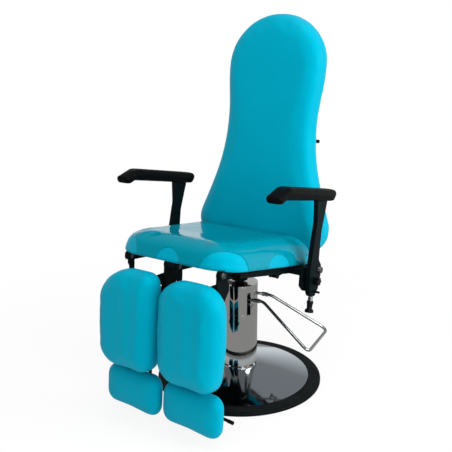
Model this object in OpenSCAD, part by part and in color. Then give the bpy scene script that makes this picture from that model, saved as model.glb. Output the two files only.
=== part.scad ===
// Podiatry chair on a hydraulic pump, in millimetres.
// +Z is up, the chair faces -Y, and the origin is the centre of the base on the floor.
// The seat, armrests and backrest share one leaning frame, drawn by on_seat():
// there y runs back from the seat's lower front edge and z stands square to the seat.

/* [Base] */
// Radius of the floor ring
base_r = 306; // [280:1:320]
// Width of the floor ring
ring_w = 50; // [40:1:56]
// Height of the floor ring
ring_h = 13; // [11:1:17]
// Rounding of the floor ring's top edges
ring_edge = 4; // [2:0.5:5]
// Thickness of the steel floor plate
plate_t = 8; // [6:0.5:10]
// Height of the pump seat's top face above the floor
pump_seat_h = 56; // [50:1:64]
// Radius of the pump seat
pump_seat_r = 70; // [69:0.5:73]
// Thickness of the spun dome
dome_t = 2; // [1.5:0.25:3]
// How much the dome bows, from 1 for a straight cone
dome_bow = 1.2; // [1:0.05:1.5]

/* [Pump] */
// Radius of the chromed pump column
column_r = 67; // [66:0.5:70]
// Wall of the column's two sleeves
sleeve_wall = 2.5; // [2:0.25:3.5]
// Thickness of the flange that holds the pump down
flange_t = 6; // [5:0.5:8]
// Number of screws in the flange
flange_screws_n = 8; // [4:1:10]
// Radius of a flange screw's shank
screw_r = 3; // [2.5:0.25:3.5]
// Height of a flange screw's head
screw_head_h = 3.7; // [3:0.1:4.5]
// Length of the lower sleeve
lower_sleeve_l = 199; // [185:1:210]
// Length of the upper sleeve
upper_sleeve_l = 107; // [98:1:118]
// Width of the seam between the sleeves
seam_w = 0.6; // [0.4:0.1:1.2]
// Outer radius of the fixed guide tube
guide_r = 58; // [54:0.5:60]
// Wall of the guide tube
guide_wall = 4; // [3:0.5:5]
// Length of the guide tube
guide_l = 206; // [195:1:215]
// Height of the bush that runs on the guide tube
bush_h = 30; // [20:1:40]
// Radius of the ram
ram_r = 18; // [15:0.5:20]
// Outer radius of the hydraulic cylinder
cylinder_r = 30; // [27:0.5:34]
// Length of the hydraulic cylinder
cylinder_l = 190; // [170:1:195]
// Radius of the spindle that the seat turns on
spindle_r = 16; // [14:0.5:18]
// Thickness of the chromed top of the pump
cap_t = 3; // [2:0.5:5]

/* [Pedal] */
// Direction that the pedal points, turned from +X
pedal_turn = 9.2; // [0:0.1:20]
// Radius of the pedal's rod
pedal_rod_r = 5.5; // [4.5:0.25:6]
// Distance from the pump's middle to each pedal arm
pedal_root_half = 38; // [36:0.5:40]
// Half the width of the foot bar
pedal_foot_half = 107; // [95:1:115]
// Reach of the straight roots
pedal_root_reach = 110; // [106:1:118]
// Reach of the foot bar
pedal_reach = 306; // [290:1:320]
// Drop from the roots to the foot bar
pedal_drop = 126; // [110:1:135]
// How far each bend of the foot bar starts before its corner
pedal_bend = 26; // [18:1:34]
// How far each bend at a root starts before its corner
pedal_root_bend = 13; // [8:1:20]
// Radius of the grey ferrules at the roots
ferrule_r = 8; // [7:0.25:9.5]
// Length of the ferrules
ferrule_l = 22; // [16:1:26]
// Radius of the pedal's shaft
pedal_shaft_r = 8; // [7:0.25:9]
// Width of the slots for the pedal's arms
slot_w = 13; // [12.5:0.25:15]
// Height of the slots above the sleeve's lower end
slot_h = 84; // [78:1:88]

/* [Seat] */
// How far the seat leans back
seat_tilt = 10; // [7:0.5:13]
// Height of the seat's lower front edge
seat_front_h = 558; // [545:1:575]
// Distance from the pump's axis to the seat's lower front edge
seat_front_y = 409; // [395:1:420]
// Depth of the seat cushion
seat_d = 488; // [480:1:489]
// Width of the seat cushion at its front
seat_w = 460; // [452:1:480]
// Width of the seat cushion at its back
seat_back_w = 512; // [500:1:528]
// Thickness of the seat cushion
seat_t = 78; // [70:1:86]
// Radius of the cushion's front corners seen from above
seat_corner = 105; // [80:1:120]
// Rounding of the cushion's top edge
seat_edge = 50; // [30:1:54]
// How far the cushion's top falls at its front
seat_fall = 12; // [0:1:16]
// Thickness of the clear cover over the seat
cover_t = 1; // [0.8:0.1:1.5]
// Radius of the cover's cut-outs at the front corners
cover_corner_cut = 104; // [90:1:110]
// Height of the cover's small cut-outs
cover_mid_cut = 46; // [40:1:52]
// Height of the cover's lower edge above the cushion's underside
cover_foot = 4; // [3:0.5:6]
// Thickness of the seat board
board_t = 10; // [8:0.5:12]
// Width of the side rails
rail_w = 28; // [24:1:32]
// Height of the side rails at their rear ends
rail_h = 26; // [24:0.5:30]
// Wall of the rails and cross tubes
rail_wall = 2.5; // [2:0.25:3.5]
// Height of the rails at their front ends
rail_front_h = 13; // [11:0.5:16]
// Distance between the outer faces of the side rails
rail_span = 456; // [450:1:460]
// Length of the side rails
rail_l = 490; // [484:1:494]
// Height of the cross tubes
cross_h = 22; // [20:0.5:24]
// Radius of the pivot shafts under the seat
shaft_r = 8; // [7:0.25:8.5]
// Radius of the hub that turns on the spindle
hub_r = 30; // [26:0.5:36]
// Thickness of the plate on the hub
hub_plate_t = 6; // [5:0.5:8]

/* [Backrest] */
// How far the backrest leans forward of square to the seat
back_lean = 0.9; // [0:0.1:2]
// Height of the backrest
back_h = 855; // [820:1:890]
// Width of the backrest near the seat
back_low_w = 542; // [525:1:542]
// Width of the backrest at its waist
back_waist_w = 354; // [330:1:380]
// Width of the backrest at head height
back_head_w = 378; // [365:1:400]
// Thickness of the backrest cushion
back_t = 85; // [75:1:92]
// Rounding of the backrest's front edge
back_edge = 38; // [30:1:42]
// Rounding of the backrest's rear edge
back_rear_edge = 15; // [8:1:20]
// Radius of the backrest's lower corners
back_corner = 100; // [85:1:110]
// Thickness of the board behind the cushion
back_board_t = 12; // [9:0.5:15]
// Depth of the frame tubes behind the board
back_tube = 24; // [20:1:28]
// Distance between the two uprights
upright_pitch = 220; // [190:1:240]
// Height of the release bar above the backrest's foot
release_h = 406; // [380:1:430]
// Length of the release bar
release_l = 330; // [310:1:340]
// Radius of the release bar
release_r = 6; // [5:0.25:7]

/* [Armrests] */
// Distance between the middles of the two armrests
arm_pitch = 604; // [602:1:620]
// Width of an armrest pad
arm_pad_w = 56; // [48:1:56]
// Thickness of an armrest pad
arm_pad_t = 40; // [34:1:44]
// Length of an armrest pad
arm_pad_l = 383; // [370:1:395]
// Length of the pad's drooping nose
arm_nose_l = 64; // [56:1:72]
// Drop of the nose below the pad's underside
arm_nose_drop = 17; // [12:1:22]
// Height of the pad's underside above the seat's lower face
arm_pad_v = 225; // [210:1:240]
// Thickness of the armrest post
post_t = 16; // [14:0.5:18]
// Radius of the bolt that the armrest swings on
arm_bolt_r = 8; // [6:0.25:9]
// Radius of the star knob
star_r = 14; // [12:0.5:16]
// Radius of the locking plunger's stem
stem_r = 5; // [4:0.25:5.5]

/* [Leg rests] */
// How far the leg rests lean forward at their feet
leg_lean = 5; // [3:0.5:8]
// Distance between the middles of the two leg frames
leg_pitch = 202; // [198:1:204]
// How far the pair of leg frames sits to one side of the middle
leg_shift = 7; // [0:0.5:8]
// Distance between the middles of the two calf pads
pad_pitch = 243; // [243:1:250]
// Width of a calf pad at its ends
calf_w = 212; // [204:1:214]
// How far each side of a calf pad bulges
calf_bulge = 15; // [8:0.5:15]
// Height of a calf pad
calf_h = 332; // [320:1:340]
// Thickness of a calf pad
calf_t = 75; // [66:1:78]
// Radius of a calf pad's upper corners
calf_top_corner = 88; // [76:1:94]
// Radius of a calf pad's lower corners
calf_low_corner = 64; // [56:1:72]
// Rounding of the pads' front edges
pad_edge = 36; // [30:1:38]
// Distance from the leg pivot down to the calf pad
calf_drop = 32; // [30:1:36]
// Gap between the calf pad and the foot pad
foot_gap = 8; // [6:1:12]
// Width of a foot pad
foot_w = 223; // [210:1:227]
// Height of a foot pad
foot_h = 134; // [120:1:140]
// Thickness of a foot pad
foot_t = 47; // [42:1:52]
// Radius of a foot pad's corners
foot_corner = 37; // [34:1:44]
// Distance between the two side plates of a leg frame
leg_arm_pitch = 154; // [150:1:156]
// Thickness of the side plates
leg_arm_t = 6; // [5:0.5:8]
// Width of a straight side plate
leg_arm_w = 20; // [18:0.5:24]
// Radius of the rods that the foot pad slides on
foot_rod_r = 6; // [5:0.25:7]

/* [Gas springs] */
// Radius of a gas spring's cylinder
gas_r = 10; // [9:0.5:11]
// Radius of a gas spring's rod
gas_rod_r = 4; // [3:0.25:4.5]
// Radius of the pins through the gas springs' eyes
gas_pin_r = 4; // [3.5:0.25:4.5]

/* [Hidden] */
$fn = 48;

// Clearance of a running fit, on the radius
fit = 0.05;
// Clearance between pieces that lie beside each other
gap = 0.3;
// How far a cutting shape runs past what it cuts
over = 1;
// Steps round each rounded corner of an outline
steps = 6;

left = 1;
right = -1;

teal = [0.0, 0.64, 0.72];
chrome = [0.8, 0.82, 0.84];
steel = [0.55, 0.56, 0.58];
black = [0.06, 0.06, 0.07];
rubber = [0.09, 0.09, 0.1];
zinc = [0.7, 0.74, 0.78];
brass = [0.72, 0.58, 0.3];

// Heights in the pump, from the floor up
flange_top = pump_seat_h + flange_t;
column_z = flange_top + screw_head_h + gap;
seam_z = column_z + lower_sleeve_l;
upper_z = seam_z + seam_w;
column_top = upper_z + upper_sleeve_l;
sleeve_in = column_r - sleeve_wall;
head_t = 20;
head_z = column_top - head_t;
cylinder_z = column_z + 1.4 * bush_h;
cylinder_top = cylinder_z + cylinder_l;
pedal_drop_head = 27;
pedal_z = head_z - pedal_drop_head;
spindle_foot = pedal_z + pedal_shaft_r + 7;
spindle_top = column_top + 61;
hub_z = column_top + 12;
ram_top = cylinder_top - 8;
flange_screw_pcr = guide_r + gap + 2.1 * screw_r;

// Places in the seat's leaning frame: y back, z square to the seat
back_u = seat_d + 3.5;
back_v = 19.5;
rail_v = -board_t;
rail_mid_v = rail_v - rail_h / 2;
rail_u = 75;
leg_pivot = [25, -15];
back_pivot = [rail_u + rail_l - 21, rail_mid_v];
board_u = leg_pivot.x + 27;
arm_pivot = [441, -12];
arm_star = [416, -48];
arm_stem_u = 414;
arm_tip_v = -101;
arm_x = arm_pitch / 2;
arm_plate_t = 8;
arm_plate_x = arm_x - post_t / 2 - 9 - arm_plate_t;
cross_spring_u = [205, 205 + rail_h];
cross_mid_u = [330, 330 + rail_h];
cross_rear_u = [470, 470 + rail_h];
rail_in = rail_span / 2 - rail_w;
cross_v = rail_v - cross_h;

// Places across the legs: their middles, and the faces of the brackets that carry their pivots
function leg_x(s) = s * leg_pitch / 2 + leg_shift;
bracket_clear = leg_arm_pitch / 2 + leg_arm_t / 2 + 2;
bracket_t = 10;
bracket_x = [
    [leg_x(-1) - bracket_clear - bracket_t, leg_x(-1) - bracket_clear],
    [leg_x(-1) + bracket_clear, leg_x(1) - bracket_clear],
    [leg_x(1) + bracket_clear, leg_x(1) + bracket_clear + bracket_t]
];

// Places in a leg's own frame: y back from the pivot, z up from it
calf_back_b = -17;
leg_board_t = 12;
calf_low_h = -calf_drop - calf_h;
guide_block_h = [calf_low_h + 25, calf_low_h + 55];
rod_b = foot_rod_r + 6;
rod_half = 38;
foot_top_h = calf_low_h - foot_gap;
foot_back_b = -2;
foot_board_t = 8;
foot_mid_h = foot_top_h - foot_h / 2;
lever_h = foot_mid_h - 19;
lever_b = rod_b + foot_rod_r + 10;
lever_pin_r = 4;
lever_hub_r = 8;
lever_hub_t = 8;
lever_t = 5;
lever_w = 9;
lever_l = 70;
lever_grip_l = 20;
lever_grip_r = 6;
lever_dip = 5;

// Gas spring eyes, all at one distance from their hinge so that the spring turns half as far
leg_eye = [10, -170];
leg_eye_r = norm(leg_eye);
leg_eye_a = atan2(leg_eye.y, leg_eye.x) + seat_tilt - leg_lean;
leg_spread = 76;
leg_seat_eye = leg_pivot + leg_eye_r * [cos(leg_eye_a + leg_spread), sin(leg_eye_a + leg_spread)];
leg_frame_eye = leg_pivot + leg_eye_r * [cos(leg_eye_a), sin(leg_eye_a)];
back_eye_r = 100;
back_seat_eye = back_pivot + back_eye_r * [cos(205), sin(205)];
back_frame_eye = back_pivot + back_eye_r * [cos(355), sin(355)];
back_gas_x = 130;
clevis_in = gas_r + 2;
clevis_t = 4;

// Points on an arc about c
function arc(c, r, from, to, n) =
    [for (i = [0:n]) c + r * [cos(from + (to - from) * i / n), sin(from + (to - from) * i / n)]];

function unit(v) = v / norm(v);
function side(v) = [-v.y, v.x];
function turn(v, a) = [v.x * cos(a) - v.y * sin(a), v.x * sin(a) + v.y * cos(a)];

// The arc that rounds the corner q between p and s
function fillet(p, q, s, r) =
    let (a = unit(p - q), b = unit(s - q), half = acos(a * b) / 2,
         c = q + unit(a + b) * r / sin(half),
         t = q + a * r / tan(half) - c,
         swing = (180 - 2 * half) * sign(a.x * b.y - a.y * b.x) * -1)
    [for (i = [0:steps]) c + turn(t, swing * i / steps)];

// An outline from corners written as [x, y, radius]
function rounded(p) =
    [for (i = [0:len(p) - 1])
        let (q = p[i], a = p[(i + len(p) - 1) % len(p)], b = p[(i + 1) % len(p)])
        each q[2] == 0 ? [[q.x, q.y]] : fillet([a.x, a.y], [q.x, q.y], [b.x, b.y], q[2])];

// An anticlockwise outline moved inwards by d
function inset(p, d) =
    [for (i = [0:len(p) - 1])
        let (a = unit(p[i] - p[(i + len(p) - 1) % len(p)]),
             b = unit(p[(i + 1) % len(p)] - p[i]),
             m = side(a) + side(b))
        p[i] + m * d * 2 / (m * m)];

// A solid skinned over an outline, given as [inset, height] levels from the bottom up,
// whose heights may fall by a share towards y = 0
module skinned(outline, levels, fall = 0) {
    n = len(outline);
    rings = [for (l = levels) each [for (q = inset(outline, l[0]))
        [q.x, q.y, l[1] * (1 - fall * pow(max(0, 1 - q.y / fall_reach), 2))]]];
    walls = [for (k = [0:len(levels) - 2], i = [0:n - 1])
        let (a = k * n + i, b = k * n + (i + 1) % n)
        each [[a, a + n, b + n], [a, b + n, b]]];
    bottom = [for (i = [0:n - 1]) i];
    top = [for (i = [n - 1:-1:0]) (len(levels) - 1) * n + i];
    polyhedron(rings, concat(walls, [bottom, top]), convexity = 6);
}

// Levels of a pad of thickness t with its face edge rounded by r and its back edge by back_r
function pad_levels(t, r, back_r) = concat(
    [for (i = [0:2]) [back_r * (1 - sin(45 * i)), back_r * (1 - cos(45 * i))]],
    [for (i = [0:steps]) [r * (1 - cos(90 * i / steps)), t - r + r * sin(90 * i / steps)]]);

// Frames that the pieces are drawn in
module on_seat() translate([0, -seat_front_y, seat_front_h]) rotate([-seat_tilt, 0, 0]) children();
module on_leg(s) on_seat() translate([leg_x(s), leg_pivot.x, leg_pivot.y])
    rotate([seat_tilt - leg_lean, 0, 0]) children();
module on_back() on_seat() translate([0, back_u, back_v]) rotate([back_lean, 0, 0]) children();
// A point of the seat's frame, given in the backrest's frame
function to_back(p) = turn(p - [back_u, back_v], -back_lean);
module on_pedal() rotate([0, 0, pedal_turn]) translate([0, 0, pedal_z]) children();

// A plate drawn in the plane of y and z, from x to x + t
module plate(x, t) translate([x, 0, 0]) rotate([90, 0, 90]) linear_extrude(t) children();
// A round bar along x
module bar_x(x, l, r) translate([x, 0, 0]) rotate([0, 90, 0]) cylinder(h = l, r = r);
// A box between two corners
module block(a, b) translate(a) cube(b - a);
// A straight tube of square-cut section along y, open at both ends
module rail_tube(w, h, l) difference() {
    cube([w, l, h]);
    translate([rail_wall, -over, rail_wall])
        cube([w - 2 * rail_wall, l + 2 * over, h - 2 * rail_wall]);
}

// Base
module base_plate() color(steel) difference() {
    union() {
        cylinder(h = plate_t, r = base_r - ring_w - gap);
        cylinder(h = pump_seat_h, r = pump_seat_r);
    }
    translate([0, 0, plate_t]) cylinder(h = pump_seat_h, r = guide_r - 2 * guide_wall);
    flange_holes(screw_r + fit, plate_t);
}

module base_ring() color(rubber) rotate_extrude($fn = 96) polygon(rounded([
    [base_r - ring_w, 0, 0],
    [base_r, 0, 0],
    [base_r, ring_h - ring_edge / 2, ring_edge],
    [base_r - 2 * ring_edge, ring_h, ring_edge],
    [base_r - ring_w, ring_h, 0]
]));

module base_dome() {
    foot = base_r - ring_w + ring_edge;
    neck = pump_seat_r + 2 * gap;
    rise = pump_seat_h - dome_t - ring_h - 2 * gap;
    line = [for (i = [0:12]) [foot + (neck - foot) * i / 12,
        ring_h + gap + rise * (1 - pow(1 - i / 12, dome_bow))]];
    color(chrome) rotate_extrude($fn = 96)
        polygon(concat(line, [for (i = [12:-1:0]) line[i] + [0, dome_t]]));
}

module flange_holes(r, z) for (i = [0:flange_screws_n - 1])
    rotate([0, 0, i * 360 / flange_screws_n])
        translate([flange_screw_pcr, 0, z]) cylinder(h = column_z, r = r);

module pump_flange() color(chrome) difference() {
    translate([0, 0, pump_seat_h]) cylinder(h = flange_t, r = pump_seat_r + over);
    cylinder(h = column_z, r = guide_r + gap);
    flange_holes(screw_r + fit, plate_t);
}

module flange_screws() color(zinc) for (i = [0:flange_screws_n - 1])
    rotate([0, 0, i * 360 / flange_screws_n]) translate([flange_screw_pcr, 0, 0]) {
        translate([0, 0, plate_t + over]) cylinder(h = flange_top - plate_t - over, r = screw_r);
        translate([0, 0, flange_top]) cylinder(h = screw_head_h, r1 = 1.8 * screw_r, r2 = 1.4 * screw_r);
    }

module guide_tube() color(chrome) translate([0, 0, pump_seat_h]) difference() {
    cylinder(h = guide_l, r = guide_r);
    translate([0, 0, -over]) cylinder(h = guide_l + 2 * over, r = guide_r - guide_wall);
}

module ram() color(steel) translate([0, 0, plate_t]) cylinder(h = ram_top - plate_t, r = ram_r);

// Pump
module sleeve(z, l) translate([0, 0, z]) difference() {
    cylinder(h = l, r = column_r);
    translate([0, 0, -over]) cylinder(h = l + 2 * over, r = sleeve_in);
}

module lower_sleeve() color(chrome) sleeve(column_z, lower_sleeve_l);

module upper_sleeve() color(chrome) difference() {
    sleeve(upper_z, upper_sleeve_l);
    rotate([0, 0, pedal_turn]) for (s = [left, right]) translate([0, s * pedal_root_half, 0]) {
        block([0, -slot_w / 2, upper_z - over], [column_r, slot_w / 2, upper_z + slot_h - slot_w / 2]);
        translate([0, 0, upper_z + slot_h - slot_w / 2]) bar_x(0, column_r, slot_w / 2);
    }
}

module guide_bush() color(brass) translate([0, 0, column_z + over]) difference() {
    cylinder(h = bush_h, r = sleeve_in - fit);
    translate([0, 0, -over]) cylinder(h = bush_h + 2 * over, r = guide_r + fit);
}

module hydraulic_cylinder() color(steel) translate([0, 0, cylinder_z]) difference() {
    cylinder(h = cylinder_l, r = cylinder_r);
    translate([0, 0, -over]) cylinder(h = cylinder_l + 2 * over, r = ram_r + fit);
}

module pump_head() color(chrome) difference() {
    union() {
        translate([0, 0, cylinder_top]) cylinder(h = head_z - cylinder_top, r = cylinder_r);
        translate([0, 0, head_z]) cylinder(h = column_top - head_z, r = sleeve_in - fit);
        translate([0, 0, column_top]) cylinder(h = cap_t, r = column_r);
    }
    translate([0, 0, spindle_foot]) cylinder(h = column_top, r = spindle_r + fit);
    on_pedal() rotate([90, 0, 0]) translate([0, 0, -column_r])
        cylinder(h = 2 * column_r, r = pedal_shaft_r + fit);
}

module spindle() color(black) {
    translate([0, 0, spindle_foot]) cylinder(h = spindle_top - spindle_foot - over, r = spindle_r);
    translate([0, 0, spindle_top - over]) cylinder(h = over, r1 = spindle_r, r2 = spindle_r - over);
}

// Pedal, drawn with x along the pedal and its shaft along y
socket_reach = pedal_root_half - 2;
pedal_route = [
    [socket_reach, pedal_root_half, 0],
    [pedal_root_reach, pedal_root_half, 0],
    [pedal_reach, pedal_foot_half, -pedal_drop],
    [pedal_reach, -pedal_foot_half, -pedal_drop],
    [pedal_root_reach, -pedal_root_half, 0],
    [socket_reach, -pedal_root_half, 0]
];

// The route with each bend as a curve that starts d before its corner
function bent(p, d, n) = [for (i = [0:len(p) - 1])
    each i == 0 || i == len(p) - 1 ? [p[i]] :
    let (a = p[i] + d[i] * unit(p[i - 1] - p[i]), b = p[i] + d[i] * unit(p[i + 1] - p[i]))
    [for (k = [0:n]) let (t = k / n) pow(1 - t, 2) * a + 2 * t * (1 - t) * p[i] + t * t * b]];

// A round rod swept along a route
module swept(route, r, sides) {
    last = len(route) - 1;
    function way(i) = unit(route[min(i + 1, last)] - route[max(i - 1, 0)]);
    function ring(i) = let (w = way(i), u = unit(cross([0, 0, 1], w)), v = cross(w, u))
        [for (k = [0:sides - 1]) route[i] + r * (cos(360 * k / sides) * u + sin(360 * k / sides) * v)];
    walls = [for (i = [0:last - 1], k = [0:sides - 1])
        let (a = i * sides + k, b = i * sides + (k + 1) % sides)
        each [[a, a + sides, b + sides], [a, b + sides, b]]];
    polyhedron([for (i = [0:last]) each ring(i)], concat(walls,
        [[for (k = [0:sides - 1]) k], [for (k = [sides - 1:-1:0]) last * sides + k]]), convexity = 6);
}

module pedal_bar() color(chrome) on_pedal() swept(bent(pedal_route,
    [0, pedal_root_bend, pedal_bend, pedal_bend, pedal_root_bend, 0], steps), pedal_rod_r, 16);

module pedal_ferrules() color(steel) on_pedal() for (s = [left, right])
    translate([pedal_root_reach - pedal_root_bend - ferrule_l, s * pedal_root_half, 0]) difference() {
        bar_x(0, ferrule_l, ferrule_r);
        bar_x(-over, ferrule_l + 2 * over, pedal_rod_r + fit);
    }

module pedal_yoke() color(steel) on_pedal() {
    end = pedal_root_half + pedal_rod_r + 3;
    rotate([90, 0, 0]) translate([0, 0, -end]) cylinder(h = 2 * end, r = pedal_shaft_r);
    for (s = [left, right]) {
        translate([0, s * (cylinder_r + over), 0]) rotate([-90 * s, 0, 0])
            cylinder(h = end - cylinder_r - over, r = 1.5 * pedal_shaft_r);
        translate([0, s * pedal_root_half, 0]) bar_x(0, socket_reach, pedal_rod_r + 3);
    }
}

// Seat frame
module swivel_hub() color(black) difference() {
    union() {
        intersection() {
            translate([0, 0, hub_z]) cylinder(h = 2 * spindle_top, r = hub_r);
            on_seat() translate([-hub_r, 0, cross_v - hub_plate_t - 4 * spindle_top])
                cube([2 * hub_r, 2 * seat_d, 4 * spindle_top]);
        }
        on_seat() plate_xy([cross_mid_u.x - 5, cross_rear_u.y + 5], 180, 12,
            [cross_v - hub_plate_t, cross_v]);
    }
    translate([0, 0, hub_z - over]) cylinder(h = spindle_top - hub_z + over + gap, r = spindle_r + fit);
}

// A flat plate lying in the seat's plane, with its front corners rounded by r
module plate_xy(u, w, r, v) translate([0, 0, v.x]) linear_extrude(v.y - v.x) polygon(rounded([
    [-w / 2, u.x, r], [w / 2, u.x, r], [w / 2, u.y, 12], [-w / 2, u.y, 12]]));

// Tapered tubes, deepest where the armrests are carried, and open at their rear ends
rail_side = [
    [rail_u, rail_v - rail_front_h],
    [arm_pivot.x, rail_v - rail_h],
    [rail_u + rail_l, rail_v - rail_h],
    [rail_u + rail_l, rail_v],
    [rail_u, rail_v]
];

module side_rails() color(black) on_seat() difference() {
    for (s = [left, right]) plate(s * (rail_span - rail_w) / 2 - rail_w / 2, rail_w) polygon(rail_side);
    for (s = [left, right]) plate(s * (rail_span - rail_w) / 2 - rail_w / 2 + rail_wall,
        rail_w - 2 * rail_wall) polygon([for (i = [0:4])
            inset(rail_side, rail_wall)[i] + [i == 2 || i == 3 ? 2 * rail_wall : 0, 0]]);
    translate([0, back_pivot.x, back_pivot.y]) bar_x(-rail_span, 2 * rail_span, shaft_r + fit);
}

module cross_tubes() color(black) on_seat()
    for (u = [cross_spring_u, cross_mid_u, cross_rear_u])
        translate([rail_in, u.x, cross_v]) rotate([0, 0, 90]) rail_tube(u.y - u.x, cross_h, 2 * rail_in);

module rail_plugs() color(black) on_seat() for (s = [left, right])
    translate([s * (rail_span - rail_w) / 2, rail_u + rail_l, rail_mid_v]) {
        spigot = [rail_w / 2 - rail_wall - fit, rail_h / 2 - rail_wall - fit];
        block([-rail_w / 2, 0, -rail_h / 2], [rail_w / 2, 3 * over, rail_h / 2]);
        block([-spigot.x, -4 * over, -spigot.y], [spigot.x, 0, spigot.y]);
    }

module seat_board() color(black) on_seat()
    plate_xy([board_u, seat_d - 8], seat_w - 36, 0.65 * seat_corner, [-board_t, 0]);

seat_outline = rounded([
    [seat_w / 2, 0, seat_corner],
    [seat_back_w / 2, seat_d, seat_edge + 5],
    [-seat_back_w / 2, seat_d, seat_edge + 5],
    [-seat_w / 2, 0, seat_corner]
]);

// The top falls towards the front edge
fall_reach = 0.55 * seat_d;

module seat_cushion() color(teal) on_seat()
    skinned(seat_outline, pad_levels(seat_t, seat_edge, seat_edge / 12), seat_fall / seat_t);

// The clear cover hugs the cushion and is cut away in half rounds at its lower edge
module seat_cover() color([0.8, 0.95, 0.97, 0.4]) on_seat() difference() {
    cover_shape(gap + cover_t, cover_foot, seat_t + gap + cover_t, seat_edge + gap + cover_t);
    cover_shape(gap, cover_foot - over, seat_t + gap, seat_edge + gap);
    translate([0, 0.56 * seat_d, 0]) scale([1, 1.36, 1]) bar_x(-seat_back_w, 2 * seat_back_w, cover_mid_cut);
    rotate([90, 0, 0]) translate([0, 0, -seat_d / 4]) cylinder(h = seat_d / 2, r = cover_mid_cut);
    for (s = [left, right]) translate([s * (seat_w / 2), 0, 0]) rotate([0, 0, -45 * s])
        scale([1, 1, 0.75]) sphere(r = cover_corner_cut, $fn = 40);
    block([-seat_back_w, seat_d - seat_edge, -over], [seat_back_w, 2 * seat_d, seat_t - seat_edge]);
}

module cover_shape(out, foot, top, edge) skinned(seat_outline, concat([[-out, foot]],
    [for (i = [0:steps]) [edge * (1 - cos(90 * i / steps)) - out, top - edge + edge * sin(90 * i / steps)]]),
    seat_fall / seat_t);

// Brackets bolted under the front of the board: one in the middle and one at each side
module leg_brackets() color(black) on_seat() difference() {
    for (x = bracket_x) plate(x.x, x.y - x.x) polygon(rounded([
        [leg_pivot.x - 14, leg_pivot.y - 15, 13],
        [leg_pivot.x + 22, leg_pivot.y - 15, 8],
        [board_u + 110, rail_v - 12, 6],
        [board_u + 110, rail_v, 0],
        [board_u - 1, rail_v, 0],
        [board_u - 1, -1, 2],
        [leg_pivot.x - 14, -1, 10]
    ]));
    translate([0, leg_pivot.x, leg_pivot.y]) bar_x(-rail_in, 2 * rail_in, shaft_r + fit);
}

// One pin through the middle bracket and one through each side bracket, which have round heads
module leg_pivot_pins() color(steel) on_seat() translate([0, leg_pivot.x, leg_pivot.y]) {
    reach = 2 + leg_arm_t + 2;
    bar_x(bracket_x[1].x - reach, bracket_x[1].y - bracket_x[1].x + 2 * reach, shaft_r);
    for (s = [left, right]) translate([s > 0 ? bracket_x[2].y : bracket_x[0].x, 0, 0]) rotate([0, 0, s > 0 ? 0 : 180]) {
        bar_x(-bracket_t - reach, bracket_t + reach + gap, shaft_r);
        translate([gap, 0, 0]) rotate([0, 90, 0]) cylinder(h = 4, r1 = 1.35 * shaft_r, r2 = shaft_r);
    }
}

module back_pivot_shaft() color(steel) on_seat() translate([0, back_pivot.x, back_pivot.y])
    bar_x(-rail_span / 2 - over, rail_span + 2 * over, shaft_r);

// A pair of ears under a cross tube with the pin that a gas spring swings on
module clevis(x, eye, tube_u) {
    r = 2.4 * gas_pin_r;
    for (s = [left, right]) plate(x + (s > 0 ? clevis_in : -clevis_in - clevis_t), clevis_t)
        polygon(rounded([
            [tube_u.x, cross_v, 0],
            [eye.x + r, eye.y - r, 0.9 * r],
            [eye.x - r, eye.y - r, 0.9 * r],
            [eye.x - r, eye.y + r, 0.9 * r],
            [tube_u.x, max(rail_v - 3, eye.y + r + 2), 0]
        ]));
    translate([0, eye.x, eye.y]) bar_x(x - clevis_in - clevis_t, 2 * (clevis_in + clevis_t), gas_pin_r);
}

module spring_clevises() color(black) on_seat() {
    for (s = [left, right]) clevis(leg_x(s), leg_seat_eye, cross_spring_u);
    clevis(back_gas_x, back_seat_eye, cross_rear_u);
}

// A fixed plate outside each rail that carries the armrest, held off the rail by a block
module arm_mounts() color(black) on_seat() for (s = [left, right]) mirror([s < 0 ? 1 : 0, 0, 0])
    difference() {
        union() {
            plate(arm_plate_x, arm_plate_t) polygon(rounded([
                [360, rail_v + 4, 6],
                [364, -66, 8],
                [390, -84, 10],
                [428, -92, 12],
                [458, -58, 20],
                [462, rail_v + 6, 8]
            ]));
            block([rail_span / 2, 362, rail_v - rail_h + 6], [arm_plate_x, 456, rail_v - 1]);
        }
        translate([0, arm_pivot.x, arm_pivot.y]) bar_x(0, arm_pitch, arm_bolt_r + fit);
    }

module arm_pivot_bolts() color(steel) on_seat() for (s = [left, right]) mirror([s < 0 ? 1 : 0, 0, 0])
    translate([0, arm_pivot.x, arm_pivot.y]) {
        outer = arm_x + post_t / 2;
        bar_x(arm_plate_x - 6, outer + gap - arm_plate_x + 6, arm_bolt_r);
        bar_x(arm_plate_x + arm_plate_t, 9 - gap, 1.7 * arm_bolt_r);
        translate([outer + gap, 0, 0]) rotate([0, 90, 0])
            cylinder(h = arm_bolt_r, r1 = 1.6 * arm_bolt_r, r2 = 1.3 * arm_bolt_r);
    }

// Backrest, drawn in its own frame: y back from the cushion's face, z up from its foot
back_low_z = back_corner;
back_waist_z = 0.55 * back_h;
back_head_z = 0.778 * back_h;
function ease(t) = t * t * (3 - 2 * t);
function back_half(z) =
    z < back_waist_z
    ? back_low_w / 2 + (back_waist_w - back_low_w) / 2
        * ease(pow(max(0, (z - 0.9 * back_low_z) / (back_waist_z - 0.9 * back_low_z)), 0.65))
    : back_waist_w / 2 + (back_head_w - back_waist_w) / 2
        * ease(min(1, (z - back_waist_z) / (back_head_z - back_waist_z)));
back_side = concat(
    arc([back_low_w / 2 - back_corner, back_corner], back_corner, -90, 0, 8),
    [for (i = [1:15]) let (z = back_low_z + (back_head_z - back_low_z) * i / 16) [back_half(z), z]],
    [for (i = [0:11]) let (a = 90 * i / 12)
        [back_head_w / 2 * cos(a), back_head_z + (back_h - back_head_z) * sin(a)]]);
back_outline = concat(back_side, [[0, back_h]],
    [for (i = [len(back_side) - 1:-1:0]) [-back_side[i].x, back_side[i].y]]);

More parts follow.
